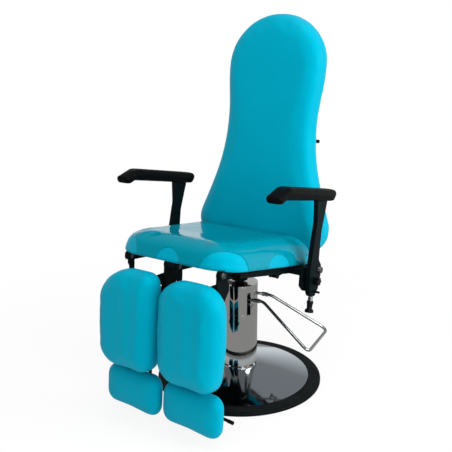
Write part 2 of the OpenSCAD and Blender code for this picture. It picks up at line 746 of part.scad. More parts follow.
module back_cushion() color(teal) on_back() translate([0, back_t, 0]) rotate([90, 0, 0])
    skinned(back_outline, pad_levels(back_t, back_edge, back_rear_edge));

module back_board() color(black) on_back() translate([0, back_t + gap + back_board_t, 0])
    rotate([90, 0, 0]) linear_extrude(back_board_t) polygon(inset(back_outline, 2 * back_rear_edge));

back_tube_y = back_t + gap + back_board_t;
low_bar_z = [30, 30 + back_tube];
hinge_plate_x = rail_in - 16;

module back_uprights() color(black) on_back() for (s = [left, right])
    translate([s * upright_pitch / 2, back_tube_y, 0]) {
        block([-back_tube / 2, 0, low_bar_z.y], [back_tube / 2, back_tube, back_head_z]);
        for (e = [left, right]) translate([0, back_tube, release_h + 40]) difference() {
            plate(e * 9 - 2, 4) polygon(rounded([[0, -16, 0], [24, -11, 10], [24, 11, 10], [0, 16, 0]]));
            translate([0, 12, 0]) bar_x(-back_tube, 2 * back_tube, release_r + fit);
        }
    }

module back_cross_bars() color(black) on_back() {
    block([-hinge_plate_x, back_tube_y, low_bar_z.x], [hinge_plate_x, back_tube_y + back_tube, low_bar_z.y]);
    block([-upright_pitch / 2 + back_tube / 2, back_tube_y, back_head_z - 2 * back_tube],
        [upright_pitch / 2 - back_tube / 2, back_tube_y + back_tube, back_head_z - back_tube]);
}

// Plates that carry the backrest on its hinge shaft, and the lever that its gas spring pushes
module back_hinge_plates() color(black) on_back() {
    y0 = back_tube_y;
    y1 = back_tube_y + back_tube;
    pivot = to_back(back_pivot);
    eye = to_back(back_frame_eye);
    for (s = [left, right]) difference() {
        plate(s * (hinge_plate_x + 4) - 4, 8) polygon(rounded([
            [pivot.x - 16, pivot.y + 4, 12],
            [pivot.x - 12, pivot.y - 16, 12],
            [pivot.x + 20, pivot.y - 14, 12],
            [y1, pivot.y / 2, 24],
            [y1, low_bar_z.y, 0],
            [y0, low_bar_z.y, 0],
            [y0, pivot.y / 4, 10]
        ]));
        translate([0, pivot.x, pivot.y]) bar_x(-rail_span, 2 * rail_span, shaft_r + fit);
    }
    r = 2.4 * gas_pin_r;
    for (s = [left, right])
        plate(back_gas_x + (s > 0 ? clevis_in : -clevis_in - clevis_t), clevis_t) polygon(rounded([
            [y0, low_bar_z.x, 0],
            [eye.x - r, eye.y - r, 0.9 * r],
            [eye.x + r, eye.y - r, 0.9 * r],
            [eye.x + r, eye.y + r, 0.9 * r],
            [y1, low_bar_z.x, 0]
        ]));
    translate([0, eye.x, eye.y])
        bar_x(back_gas_x - clevis_in - clevis_t, 2 * (clevis_in + clevis_t), gas_pin_r);
}

// A bail behind the backrest: its eyes swing on the uprights' ears and its bar is gripped
module release_bar() color(black) on_back() {
    y0 = back_tube_y + back_tube + 12;
    for (s = [left, right]) translate([s * upright_pitch / 2, y0, 0]) {
        translate([0, 0, release_h + 40]) bar_x(-13, 26, release_r);
        block([-4, -release_r, release_h], [4, release_r, release_h + 40]);
    }
    translate([0, y0, release_h]) {
        bar_x(-release_l / 2, release_l, release_r);
        for (s = [left, right]) bar_x(s * (release_l / 2 - 12) - 12, 24, release_r + over / 2);
    }
}

// Armrests
arm_u1 = 471;
arm_u0 = arm_u1 - arm_pad_l;
arm_pad_outline = rounded([
    [arm_u0 + 10, arm_pad_v - arm_nose_drop, 4],
    [arm_u0 + 25, arm_pad_v - arm_nose_drop, 5],
    [arm_u0 + 46, arm_pad_v, 14],
    [arm_u1 - 14, arm_pad_v, 8],
    [arm_u1, arm_pad_v + 0.55 * arm_pad_t, 12],
    [arm_u1 - 5, arm_pad_v + arm_pad_t, 15],
    [arm_u0 + arm_nose_l, arm_pad_v + arm_pad_t, 30],
    [arm_u0, arm_pad_v + 6, 6]
]);

module on_arm(s) on_seat() mirror([s < 0 ? 1 : 0, 0, 0]) translate([arm_x, 0, 0]) children();

module armrest_pad(s) {
    e = arm_pad_t / 5;
    color(black) on_arm(s) translate([-arm_pad_w / 2, 0, 0]) rotate([90, 0, 90])
        skinned(arm_pad_outline, concat(
            [for (i = [0:2]) [e * (1 - sin(45 * i)), e * (1 - cos(45 * i))]],
            [for (i = [0:2]) [e * (1 - cos(45 * i)), arm_pad_w - e + e * sin(45 * i)]]));
}

module armrest_post(s) color(black) on_arm(s) difference() {
    union() {
        plate(-post_t / 2, post_t) polygon(rounded([
            [372, arm_pad_v, 0],
            [386, 150, 80],
            [378, 55, 80],
            [374, -20, 30],
            [386, arm_tip_v + 8, 20],
            [arm_stem_u - 12, arm_tip_v, 3],
            [arm_stem_u + 12, arm_tip_v, 3],
            [446, -76, 14],
            [454, -30, 12],
            [450, 4, 14],
            [428, 24, 20],
            [423, 120, 90],
            [442, arm_pad_v, 0]
        ]));
        translate([0, arm_stem_u + 6, arm_tip_v + 16]) bar_x(post_t / 2 - over, 20, 4);
    }
    translate([0, arm_pivot.x, arm_pivot.y]) bar_x(-post_t, 2 * post_t, arm_bolt_r + fit);
    translate([0, arm_star.x, arm_star.y]) bar_x(-post_t, 2 * post_t, star_r / 3 + fit);
    translate([0, arm_stem_u, arm_tip_v - over]) cylinder(h = 36, r = stem_r + fit);
}

module star_knob(s) {
    stud = star_r / 3;
    star_collar_l = 3;
    star_head_l = 14;
    color(black) on_arm(s) translate([0, arm_star.x, arm_star.y]) {
        bar_x(-post_t / 2 - 8, post_t + 12, stud);
        bar_x(post_t / 2 + gap, star_collar_l + over, 0.6 * star_r);
        translate([post_t / 2 + gap + star_collar_l, 0, 0]) rotate([90, 0, 90])
            linear_extrude(star_head_l) {
                circle(r = 0.75 * star_r);
                for (i = [0:5]) rotate(60 * i) translate([0.7 * star_r, 0]) circle(r = 0.3 * star_r);
            }
    }
}

// Stem, hexagon nut and spool-shaped pull grip, turned about one axis
module lock_plunger(s) {
    nut_z = arm_tip_v - 16;
    color(black) on_arm(s) translate([0, arm_stem_u, 0]) {
        translate([0, 0, nut_z - 8]) cylinder(h = 38 + 8, r = stem_r);
        translate([0, 0, nut_z]) cylinder(h = 14, r = 1.9 * stem_r, $fn = 6);
        rotate_extrude() polygon(concat(
            [[0, nut_z - 40], [3 * stem_r, nut_z - 40], [3 * stem_r, nut_z - 36]],
            arc([3.4 * stem_r, nut_z - 24], 1.6 * stem_r, 250, 160, steps),
            [[2 * stem_r, nut_z - 12], [2.3 * stem_r, nut_z - 7], [2.3 * stem_r, nut_z - 3],
             [1.9 * stem_r, nut_z], [0, nut_z]]));
    }
}

module left_armrest_pad() armrest_pad(left);
module right_armrest_pad() armrest_pad(right);
module left_armrest_post() armrest_post(left);
module right_armrest_post() armrest_post(right);
module left_star_knob() star_knob(left);
module right_star_knob() star_knob(right);
module left_lock_plunger() lock_plunger(left);
module right_lock_plunger() lock_plunger(right);

// Leg rests. Both frames have their straight plate on the same side, and the pads sit outwards.
function pad_x(s) = s * pad_pitch / 2 - leg_x(s);

module leg_frame(s) color(black) on_leg(s) {
    cx = pad_x(s);
    low_h = guide_block_h.x;
    arm_b = calf_back_b + leg_board_t;
    difference() {
        union() {
            for (e = [left, right]) bar_x(e * leg_arm_pitch / 2 - leg_arm_t / 2, leg_arm_t, 14);
            plate(-leg_arm_pitch / 2 - leg_arm_t / 2, leg_arm_t) polygon(rounded([
                [-12, 0, 0], [-12, -22, 6], [arm_b, -34, 6], [arm_b, low_h, 0],
                [arm_b + leg_arm_w, low_h, 0], [arm_b + leg_arm_w, -24, 6], [13, 0, 0]]));
            plate(leg_arm_pitch / 2 - leg_arm_t / 2, leg_arm_t) polygon(rounded([
                [-12, 0, 0], [-12, -42, 6], [arm_b, -54, 6], [arm_b, low_h, 0],
                [arm_b + leg_arm_w, low_h, 0], [arm_b + leg_arm_w, -110, 20], [52, -58, 8],
                [50, -40, 8], [13, 0, 0]]));
            translate([leg_arm_pitch / 2, arm_b, 0]) rotate([90, 0, 0]) linear_extrude(5)
                polygon(rounded([[0, -26, 0], [-34, -42, 8], [-34, -70, 0], [0, -70, 0]]));
            board_x = calf_w / 2 - pad_edge;
            block([cx - board_x, calf_back_b + gap, calf_low_h + 20],
                [cx + board_x, arm_b, -calf_drop - 26]);
            block([-leg_arm_pitch / 2, arm_b - over, leg_eye.y - 12], [leg_arm_pitch / 2, arm_b + 5, leg_eye.y + 12]);
            block([-leg_arm_pitch / 2, arm_b - over, guide_block_h.x],
                [leg_arm_pitch / 2, rod_b + foot_rod_r + 6, guide_block_h.y]);
            for (e = [left, right])
                plate(e > 0 ? clevis_in : -clevis_in - clevis_t, clevis_t) polygon(rounded([
                    [arm_b, leg_eye.y - 14, 0], [leg_eye.x + 10, leg_eye.y - 10, 9],
                    [leg_eye.x + 10, leg_eye.y + 10, 9], [arm_b, leg_eye.y + 14, 0]]));
            translate([0, leg_eye.x, leg_eye.y])
                bar_x(-clevis_in - clevis_t, 2 * (clevis_in + clevis_t), gas_pin_r);
        }
        bar_x(-leg_pitch, 2 * leg_pitch, shaft_r + fit);
        for (e = [left, right]) translate([cx + e * rod_half, rod_b, guide_block_h.x - over])
            cylinder(h = guide_block_h.y - guide_block_h.x + 2 * over, r = foot_rod_r + fit);
    }
}

// A calf pad's outline, with sides that bulge most half way up
calf_outline = [for (p = rounded([
        [-calf_w / 2, 0, calf_low_corner],
        [calf_w / 2, 0, calf_low_corner],
        each [for (t = [0.3, 0.4, 0.5, 0.6, 0.7]) [calf_w / 2, calf_h * t, 0]],
        [calf_w / 2, calf_h, calf_top_corner],
        [-calf_w / 2, calf_h, calf_top_corner],
        each [for (t = [0.7, 0.6, 0.5, 0.4, 0.3]) [-calf_w / 2, calf_h * t, 0]]
    ]))
    p + [2 * p.x / calf_w * calf_bulge * (1 - pow(2 * p.y / calf_h - 1, 2)), 0]];

module calf_pad(s) color(teal) on_leg(s) translate([pad_x(s), calf_back_b, calf_low_h])
    rotate([90, 0, 0]) skinned(calf_outline, pad_levels(calf_t, pad_edge, pad_edge / 3));

module foot_pad(s) color(teal) on_leg(s) translate([pad_x(s), foot_back_b, foot_top_h - foot_h])
    rotate([90, 0, 0]) skinned(rounded([
        [-foot_w / 2, 0, foot_corner], [foot_w / 2, 0, foot_corner],
        [foot_w / 2, foot_h, foot_corner], [-foot_w / 2, foot_h, foot_corner]
    ]), pad_levels(foot_t, 0.85 * pad_edge, pad_edge / 3));

// The board behind the foot pad with its two rods and the blocks that hold them
module foot_carriage(s) color(black) on_leg(s) translate([pad_x(s), 0, 0]) {
    half = foot_w / 2 - pad_edge;
    b0 = foot_back_b + gap;
    block([-half, b0, foot_mid_h - foot_h / 3], [half, b0 + foot_board_t, foot_mid_h + foot_h / 3]);
    for (e = [left, right]) translate([e * rod_half, rod_b, 0]) {
        translate([0, 0, foot_mid_h - 30]) cylinder(h = guide_block_h.y + 50 - foot_mid_h + 30, r = foot_rod_r);
        block([-10, b0 + foot_board_t - rod_b - over, foot_mid_h - 34],
            [10, foot_rod_r + 3, foot_mid_h + 10]);
    }
    translate([s * rod_half, rod_b, lever_h]) rotate([-90, 0, 0])
        cylinder(h = lever_b - rod_b + lever_hub_t, r = lever_pin_r);
}

module foot_lever(s) color(black) on_leg(s)
    translate([pad_x(s) + s * rod_half, lever_b, lever_h]) mirror([s < 0 ? 1 : 0, 0, 0]) difference() {
        union() {
            rotate([90, 0, 0]) translate([0, 0, -lever_hub_t / 2]) cylinder(h = lever_hub_t, r = lever_hub_r);
            rotate([0, lever_dip, 0]) {
                block([0, -lever_t / 2, -lever_w / 2], [lever_l, lever_t / 2, lever_w / 2]);
                bar_x(lever_l - lever_grip_l / 5, lever_grip_l, lever_grip_r);
            }
        }
        rotate([90, 0, 0]) translate([0, 0, -lever_hub_t]) cylinder(h = 2 * lever_hub_t, r = lever_pin_r + fit);
    }

module left_leg_frame() leg_frame(left);
module right_leg_frame() leg_frame(right);
module left_calf_pad() calf_pad(left);
module right_calf_pad() calf_pad(right);
module left_foot_carriage() foot_carriage(left);
module right_foot_carriage() foot_carriage(right);
module left_foot_pad() foot_pad(left);
module right_foot_pad() foot_pad(right);
module left_foot_lever() foot_lever(left);
module right_foot_lever() foot_lever(right);

// Gas springs, drawn with x along the pin and z from the cylinder's eye to the rod's eye
module on_gas(x, from, to) on_seat() translate([x, from.x, from.y])
    rotate([atan2(to.y - from.y, to.x - from.x) - 90, 0, 0]) children();

module gas_eye() difference() {
    bar_x(-6, 12, 2.2 * gas_pin_r);
    bar_x(-gas_r, 2 * gas_r, gas_pin_r + fit);
}

module gas_cylinder(l) color(black) {
    difference() {
        union() {
            gas_eye();
            translate([0, 0, 1.5 * gas_pin_r]) cylinder(h = gas_r, r = gas_pin_r);
            translate([0, 0, 1.2 * gas_r]) cylinder(h = l - 1.2 * gas_r, r = gas_r);
        }
        translate([0, 0, 2 * gas_r]) cylinder(h = l - 3 * gas_r, r = gas_r - 2);
        translate([0, 0, 2 * gas_r]) cylinder(h = l, r = gas_rod_r + gap);
        bar_x(-gas_r, 2 * gas_r, gas_pin_r + fit);
    }
}

// The rod, from its eye at the far end back into the cylinder
module gas_rod(span, l) color(chrome) translate([0, 0, span]) {
    gas_eye();
    difference() {
        translate([0, 0, -l]) cylinder(h = l, r = gas_rod_r);
        bar_x(-gas_r, 2 * gas_r, gas_pin_r + fit);
    }
}

leg_gas_span = norm(leg_frame_eye - leg_seat_eye);
back_gas_span = norm(back_frame_eye - back_seat_eye);
leg_gas_l = 0.85 * leg_gas_span;
back_gas_l = 0.56 * back_gas_span;

module leg_gas_cylinder(s) on_gas(leg_x(s), leg_seat_eye, leg_frame_eye) gas_cylinder(leg_gas_l);
module leg_gas_rod(s) on_gas(leg_x(s), leg_seat_eye, leg_frame_eye)
    gas_rod(leg_gas_span, leg_gas_span - 2.5 * gas_r);
module left_leg_gas_cylinder() leg_gas_cylinder(left);
module left_leg_gas_rod() leg_gas_rod(left);
module right_leg_gas_cylinder() leg_gas_cylinder(right);
module right_leg_gas_rod() leg_gas_rod(right);
module back_gas_cylinder() on_gas(back_gas_x, back_seat_eye, back_frame_eye) gas_cylinder(back_gas_l);
module back_gas_rod() on_gas(back_gas_x, back_seat_eye, back_frame_eye)
    gas_rod(back_gas_span, 0.55 * back_gas_span);

base_plate();
base_ring();
base_dome();
pump_flange();
flange_screws();
guide_tube();
ram();
lower_sleeve();
upper_sleeve();
guide_bush();
hydraulic_cylinder();
pump_head();
spindle();
pedal_bar();
pedal_ferrules();
pedal_yoke();
swivel_hub();
side_rails();
cross_tubes();
rail_plugs();
seat_board();
seat_cushion();
seat_cover();
leg_brackets();
leg_pivot_pins();
back_pivot_shaft();
spring_clevises();
arm_mounts();
arm_pivot_bolts();
back_board();
back_cushion();
back_uprights();
back_cross_bars();
back_hinge_plates();
release_bar();
left_armrest_pad();
left_armrest_post();
left_star_knob();
left_lock_plunger();
right_armrest_pad();
right_armrest_post();
right_star_knob();
right_lock_plunger();
left_leg_frame();
left_calf_pad();
left_foot_carriage();
left_foot_pad();
left_foot_lever();
right_leg_frame();
right_calf_pad();
right_foot_carriage();
right_foot_pad();
right_foot_lever();
back_gas_cylinder();
back_gas_rod();
left_leg_gas_cylinder();
left_leg_gas_rod();
right_leg_gas_cylinder();
right_leg_gas_rod();
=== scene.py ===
import math

import bmesh
import bpy
from mathutils import Matrix, Vector


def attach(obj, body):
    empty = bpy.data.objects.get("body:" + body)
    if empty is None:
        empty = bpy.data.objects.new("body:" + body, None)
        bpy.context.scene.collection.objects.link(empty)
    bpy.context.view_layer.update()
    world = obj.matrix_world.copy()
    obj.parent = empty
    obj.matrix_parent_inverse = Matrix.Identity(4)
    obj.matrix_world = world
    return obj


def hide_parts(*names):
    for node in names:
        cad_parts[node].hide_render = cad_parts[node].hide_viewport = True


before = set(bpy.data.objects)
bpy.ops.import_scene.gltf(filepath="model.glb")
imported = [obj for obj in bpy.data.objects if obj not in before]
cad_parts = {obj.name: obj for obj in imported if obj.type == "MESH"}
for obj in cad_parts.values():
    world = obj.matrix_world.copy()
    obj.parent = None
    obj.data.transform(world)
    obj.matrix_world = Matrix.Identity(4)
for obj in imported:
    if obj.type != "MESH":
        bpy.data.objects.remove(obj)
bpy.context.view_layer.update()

# The studio
# A pale floor that runs to a white background, a soft light to the chair's left, a weaker one
# in front and one overhead, and a camera at the height of a standing person's chest.
camera_azimuth = math.radians(34.8777)
camera_pitch = math.radians(14.065)
camera_place = (1.25347, -1.88560, 1.15080)
picture_width = 452
focal_pixels = 649.246
sensor_width = 36

camera_data = bpy.data.cameras.new("camera")
camera_data.sensor_width = sensor_width
camera_data.lens = sensor_width * focal_pixels / picture_width
camera = bpy.data.objects.new("camera", camera_data)
camera.location = camera_place
camera.rotation_euler = (math.pi / 2 - camera_pitch, 0, camera_azimuth)
bpy.context.collection.objects.link(camera)
bpy.context.scene.camera = camera
bpy.context.scene.view_settings.view_transform = "Standard"


def put(tree, kind, inputs=None, **settings):
    """Adds a node of one kind to a tree, sets it up, and sets or links its inputs."""
    node = tree.nodes.new(kind)
    for name, value in settings.items():
        setattr(node, name, value)
    for name, value in (inputs or {}).items():
        if isinstance(value, bpy.types.NodeSocket):
            tree.links.new(value, node.inputs[name])
        else:
            node.inputs[name].default_value = value
    return node


# The lights are turned to the middle of the seat
seat_middle = Vector((0, -0.1, 0.6))


def soft_light(name, place, size, power):
    """A square soft box at a place, turned towards the seat."""
    data = bpy.data.lights.new(name, "AREA")
    data.shape = "SQUARE"
    data.size = size
    data.energy = power
    lamp = bpy.data.objects.new(name, data)
    lamp.location = place
    lamp.rotation_euler = (seat_middle - Vector(place)).to_track_quat("-Z", "Y").to_euler()
    bpy.context.collection.objects.link(lamp)


soft_light("side_light", (3.0, 0.5, 1.9), 1.8, 76)
soft_light("front_light", (2.4, -1.5, 1.3), 1.2, 22)
soft_light("top_light", (0.5, -0.6, 3.6), 2.0, 54)

# Metal sees white walls up to wall_top and a dimmer ceiling above ceiling_low, both given as
# the sine of the angle over the horizon
ambient_level = 0.54
ceiling_level = 0.36
wall_top = 0.06
ceiling_low = 0.45
world = bpy.data.worlds.new("studio")
world.use_nodes = True
bpy.context.scene.world = world
tree = world.node_tree
tree.nodes.clear()
ray = put(tree, "ShaderNodeLightPath").outputs
seen = put(tree, "ShaderNodeMath", {0: ray["Is Camera Ray"], 1: ray["Is Transmission Ray"]},
           operation="MAXIMUM").outputs[0]
way = put(tree, "ShaderNodeTexCoord").outputs["Generated"]
height = put(tree, "ShaderNodeSeparateXYZ", {0: way}).outputs["Z"]
wall = put(tree, "ShaderNodeMapRange", {"Value": height, "From Min": wall_top,
           "From Max": ceiling_low, "To Min": 1.0, "To Max": ceiling_level}).outputs[0]
ambient = put(tree, "ShaderNodeMix", {"Factor": ray["Is Glossy Ray"], "A": ambient_level,
              "B": wall})
strength = put(tree, "ShaderNodeMix", {"Factor": seen, "A": ambient.outputs["Result"], "B": 1.0})
sky = put(tree, "ShaderNodeBackground", {"Color": (1, 1, 1, 1),
          "Strength": strength.outputs["Result"]})
put(tree, "ShaderNodeOutputWorld", {"Surface": sky.outputs[0]})

# The picture sees a white floor that keeps a faint shadow near the chair, and metal sees it
# grey near the chair and white at the walls, between these distances from the middle
floor_half = 30.0
floor_white = 0.86
shadow_level, shadow_near, shadow_far = 0.86, 0.5, 1.8
grey_level, grey_near, grey_far = 0.36, 1.2, 4.5
mesh = bpy.data.meshes.new("studio_floor")
mesh.from_pydata([(-floor_half, -floor_half, 0), (floor_half, -floor_half, 0),
                  (floor_half, floor_half, 0), (-floor_half, floor_half, 0)], [], [(0, 1, 2, 3)])
floor = bpy.data.objects.new("studio_floor", mesh)
bpy.context.collection.objects.link(floor)
material = bpy.data.materials.new("studio_floor")
material.use_nodes = True
tree = material.node_tree
tree.nodes.clear()
ray = put(tree, "ShaderNodeLightPath").outputs
here = put(tree, "ShaderNodeTexCoord").outputs["Object"]
away = put(tree, "ShaderNodeVectorMath", {0: here}, operation="LENGTH").outputs["Value"]
clear = put(tree, "ShaderNodeMapRange", {"Value": away, "From Min": shadow_near,
            "From Max": shadow_far, "To Min": shadow_level, "To Max": 1.0}).outputs[0]
shine = put(tree, "ShaderNodeMapRange", {"Value": away, "From Min": grey_near,
            "From Max": grey_far, "To Min": grey_level, "To Max": 1.0}).outputs[0]
paint = put(tree, "ShaderNodeBsdfDiffuse", {"Color": (floor_white, floor_white, floor_white, 1)})
level = put(tree, "ShaderNodeMix", {"Factor": ray["Is Glossy Ray"], "A": 1.0, "B": shine})
glow = put(tree, "ShaderNodeEmission", {"Color": (1, 1, 1, 1),
           "Strength": level.outputs["Result"]})
seen = put(tree, "ShaderNodeMath", {0: ray["Is Camera Ray"], 1: ray["Is Transmission Ray"]},
           operation="MAXIMUM").outputs[0]
direct = put(tree, "ShaderNodeMath", {0: seen, 1: clear}, operation="MULTIPLY")
share = put(tree, "ShaderNodeMath", {0: direct.outputs[0], 1: ray["Is Glossy Ray"]},
            operation="MAXIMUM")
both = put(tree, "ShaderNodeMixShader", {0: share.outputs[0], 1: paint.outputs[0],
           2: glow.outputs[0]})
put(tree, "ShaderNodeOutputMaterial", {"Surface": both.outputs[0]})
mesh.materials.append(material)


# The base
# A flat steel plate with a turned seat for the pump in its middle, a matt black ring pressed
# round its rim, and a spun and chromed dome that covers the plate between the two.
def effect(name, values, results):
    """A new node group with named inputs and outputs, and the sockets inside it."""
    group = bpy.data.node_groups.new(name, "ShaderNodeTree")
    for label, value in values.items():
        kind = "NodeSocketFloat" if isinstance(value, float) else "NodeSocketColor"
        group.interface.new_socket(label, in_out="INPUT", socket_type=kind).default_value = value
    for label, kind in results.items():
        group.interface.new_socket(label, in_out="OUTPUT", socket_type="NodeSocket" + kind)
    inside = group.nodes.new("NodeGroupInput").outputs
    outside = group.nodes.new("NodeGroupOutput").inputs
    return group, inside, outside


def noise(tree, place, scale, detail=3.0, roughness=0.55, distortion=0.0):
    """The value of a noise texture."""
    return put(tree, "ShaderNodeTexNoise", {"Vector": place, "Scale": scale, "Detail": detail,
               "Roughness": roughness, "Distortion": distortion}).outputs["Fac"]


def spread(tree, value, low, high, to_low=0.0, to_high=1.0):
    """A value brought from one range to another, with its ends held."""
    return put(tree, "ShaderNodeMapRange", {"Value": value, "From Min": low, "From Max": high,
               "To Min": to_low, "To Max": to_high}).outputs["Result"]


# Handled metal: fine hairlines along one way, and soft smudges that dull the polish
handling, inside, outside = effect("handling", {
    "Smudge Scale": 9.0, "Hairline Scale": 260.0, "Polish": 0.05, "Dulling": 0.1,
}, {"Roughness": "Float", "Height": "Float"})
here = put(handling, "ShaderNodeTexCoord").outputs["Object"]
smudge = spread(handling, noise(handling, here, inside["Smudge Scale"], 5, 0.6, 0.4),
                0.45, 0.78)
stretched = put(handling, "ShaderNodeMapping", {"Vector": here, "Scale": (1, 1, 0.04)}).outputs[0]
hairline = noise(handling, stretched, inside["Hairline Scale"], 2)
dull = put(handling, "ShaderNodeMath", {0: smudge, 1: inside["Dulling"], 2: inside["Polish"]},
           operation="MULTIPLY_ADD").outputs[0]
handling.links.new(dull, outside["Roughness"])
handling.links.new(hairline, outside["Height"])

# Sprayed coats: the ripple of orange peel, and a duller bloom in patches
sprayed, inside, outside = effect("sprayed", {
    "Ripple Scale": 900.0, "Bloom Scale": 14.0, "Sheen": 0.32, "Bloom": 0.16,
}, {"Roughness": "Float", "Height": "Float"})
here = put(sprayed, "ShaderNodeTexCoord").outputs["Object"]
bloom = spread(sprayed, noise(sprayed, here, inside["Bloom Scale"], 4), 0.35, 0.7)
dull = put(sprayed, "ShaderNodeMath", {0: bloom, 1: inside["Bloom"], 2: inside["Sheen"]},
           operation="MULTIPLY_ADD").outputs[0]
sprayed.links.new(dull, outside["Roughness"])
sprayed.links.new(noise(sprayed, here, inside["Ripple Scale"], 2), outside["Height"])

# Dust that settles on faces that look up
dusty, inside, outside = effect("dusty", {
    "Clean": (0.02, 0.02, 0.022, 1), "Dust": (0.2, 0.19, 0.18, 1), "Amount": 0.12,
}, {"Color": "Color"})
here = put(dusty, "ShaderNodeTexCoord").outputs
upward = put(dusty, "ShaderNodeSeparateXYZ", {0: here["Normal"]}).outputs["Z"]
settled = spread(dusty, upward, 0.55, 1.0)
speck = spread(dusty, noise(dusty, here["Object"], 34.0, 6, 0.7), 0.42, 0.72)
amount = put(dusty, "ShaderNodeMath", {0: settled, 1: speck}, operation="MULTIPLY").outputs[0]
amount = put(dusty, "ShaderNodeMath", {0: amount, 1: inside["Amount"]},
             operation="MULTIPLY").outputs[0]
mixed = put(dusty, "ShaderNodeMix", {"Factor": amount, 6: inside["Clean"], 7: inside["Dust"]},
            data_type="RGBA").outputs[2]
dusty.links.new(mixed, outside["Color"])


def finish(name, metallic, effects, color=None, bump=0.0, **plain):
    """A material: a Principled shader whose colour, roughness and bump come from effects."""
    made = bpy.data.materials.new(name)
    made.use_nodes = True
    tree = made.node_tree
    tree.nodes.clear()
    shader = tree.nodes.new("ShaderNodeBsdfPrincipled")
    put(tree, "ShaderNodeOutputMaterial", {"Surface": shader.outputs[0]})
    shader.inputs["Metallic"].default_value = metallic
    if color:
        shader.inputs["Base Color"].default_value = (*color, 1)
    for label, value in plain.items():
        shader.inputs[label.replace("_", " ")].default_value = value
    for group, values in effects:
        used = tree.nodes.new("ShaderNodeGroup")
        used.node_tree = group
        for label, value in values.items():
            used.inputs[label].default_value = value
        for label, socket in used.outputs.items():
            if label == "Color":
                tree.links.new(socket, shader.inputs["Base Color"])
            elif label == "Roughness":
                tree.links.new(socket, shader.inputs["Roughness"])
            elif label == "Height" and bump:
                dent = put(tree, "ShaderNodeBump", {"Height": socket, "Strength": 1.0,
                           "Distance": bump})
                tree.links.new(dent.outputs[0], shader.inputs["Normal"])
    return made


# Edges that bend more than crease stay sharp in the shading, and those that bend more than
# bend_least are bevelled
crease = math.radians(38)
bend_least = math.radians(32)
sharp_edges = bpy.data.node_groups.new("sharp_edges", "GeometryNodeTree")
sharp_edges.interface.new_socket("Geometry", in_out="INPUT", socket_type="NodeSocketGeometry")
sharp_edges.interface.new_socket("Geometry", in_out="OUTPUT", socket_type="NodeSocketGeometry")
bend = put(sharp_edges, "GeometryNodeInputMeshEdgeAngle").outputs["Unsigned Angle"]
steep = put(sharp_edges, "FunctionNodeCompare", {0: bend, 1: crease},
            operation="GREATER_THAN")
split = put(sharp_edges, "GeometryNodeSetShadeSmooth", {
    "Geometry": sharp_edges.nodes.new("NodeGroupInput").outputs[0], "Selection": steep.outputs[0],
    "Shade Smooth": False}, domain="EDGE")
sharp_edges.links.new(split.outputs[0], sharp_edges.nodes.new("NodeGroupOutput").inputs[0])


def true_edges(piece, bevel_width):
    """Shades a piece's flats flat and its curves round, after a small bevel on its edges."""
    piece.data.polygons.foreach_set("use_smooth", [True] * len(piece.data.polygons))
    weld = piece.modifiers.new("weld", "WELD")
    weld.merge_threshold = 0.00002
    if bevel_width:
        bevel = piece.modifiers.new("bevel", "BEVEL")
        bevel.width = bevel_width
        bevel.segments = 2
        bevel.limit_method = "ANGLE"
        bevel.angle_limit = bend_least
    piece.modifiers.new("sharp", "NODES").node_group = sharp_edges
    if not bevel_width:
        return
    normals = piece.modifiers.new("normals", "WEIGHTED_NORMAL")
    normals.mode = "FACE_AREA"
    normals.weight = 100
    normals.keep_sharp = True


def dress(node, made, bevel_width=0.0):
    """Gives a CAD node its material and its edges, and returns it."""
    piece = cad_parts[node]
    piece.data.materials.clear()
    piece.data.materials.append(made)
    piece.data.polygons.foreach_set("material_index", [0] * len(piece.data.polygons))
    true_edges(piece, bevel_width)
    return piece


plate_bevel = 0.0006
chrome = finish("chrome", 1.0, [(handling, {"Polish": 0.035, "Dulling": 0.09})],
                (0.60, 0.595, 0.575))
ring_black = finish("ring_black", 0.0, [
    (sprayed, {"Ripple Scale": 650.0, "Sheen": 0.5, "Bloom": 0.2}),
    (dusty, {"Clean": (0.004, 0.006, 0.0065, 1), "Dust": (0.03, 0.035, 0.035, 1), "Amount": 0.12}),
], bump=0.00025, Specular_IOR_Level=0.05)
machined = finish("machined_steel", 1.0, [(handling, {"Polish": 0.26, "Dulling": 0.14})],
                  (0.5, 0.51, 0.53), bump=0.0001)
zinc = finish("zinc_plate", 1.0, [
    (handling, {"Polish": 0.22, "Dulling": 0.18, "Smudge Scale": 60.0}),
], (0.62, 0.68, 0.74), bump=0.00006)
# The dome's chrome colour is darker and bluer than the column's: a painted reflection of the
# grey-blue surroundings it mirrors
dome_chrome_painted_reflection = finish("dome_chrome_painted_reflection", 1.0, [(handling, {"Polish": 0.04, "Dulling": 0.09})],
                     (0.37, 0.42, 0.46))
dress("base_plate", machined, plate_bevel)
dress("base_ring", ring_black)
dress("base_dome", dome_chrome_painted_reflection)

# The column
# The pump's fixed flange, guide tube and ram stand on the plate. The sleeves, the head and the
# cylinder ride up round them when the pedal is worked, and the seat turns on the black spindle.
screw_bevel = 0.0003
rod_bevel = 0.0004
turned_bevel = 0.0005
bronze = finish("bush_bronze", 1.0, [(handling, {"Polish": 0.3, "Dulling": 0.2})],
                (0.6, 0.42, 0.22), bump=0.0001)
frame_black = finish("powder_black", 0.0, [
    (sprayed, {"Ripple Scale": 1100.0, "Sheen": 0.38, "Bloom": 0.14}),
    (dusty, {"Clean": (0.0012, 0.0045, 0.0055, 1), "Dust": (0.03, 0.035, 0.035, 1),
             "Amount": 0.05}),
], bump=0.00015, Specular_IOR_Level=0.05)
for node in ("pump_flange", "guide_tube", "lower_sleeve", "upper_sleeve", "pump_head"):
    dress(node, chrome, turned_bevel)
for node in ("ram", "hydraulic_cylinder"):
    dress(node, machined, turned_bevel)
dress("guide_bush", bronze, rod_bevel)
dress("flange_screws", zinc, screw_bevel)
dress("spindle", frame_black, plate_bevel)

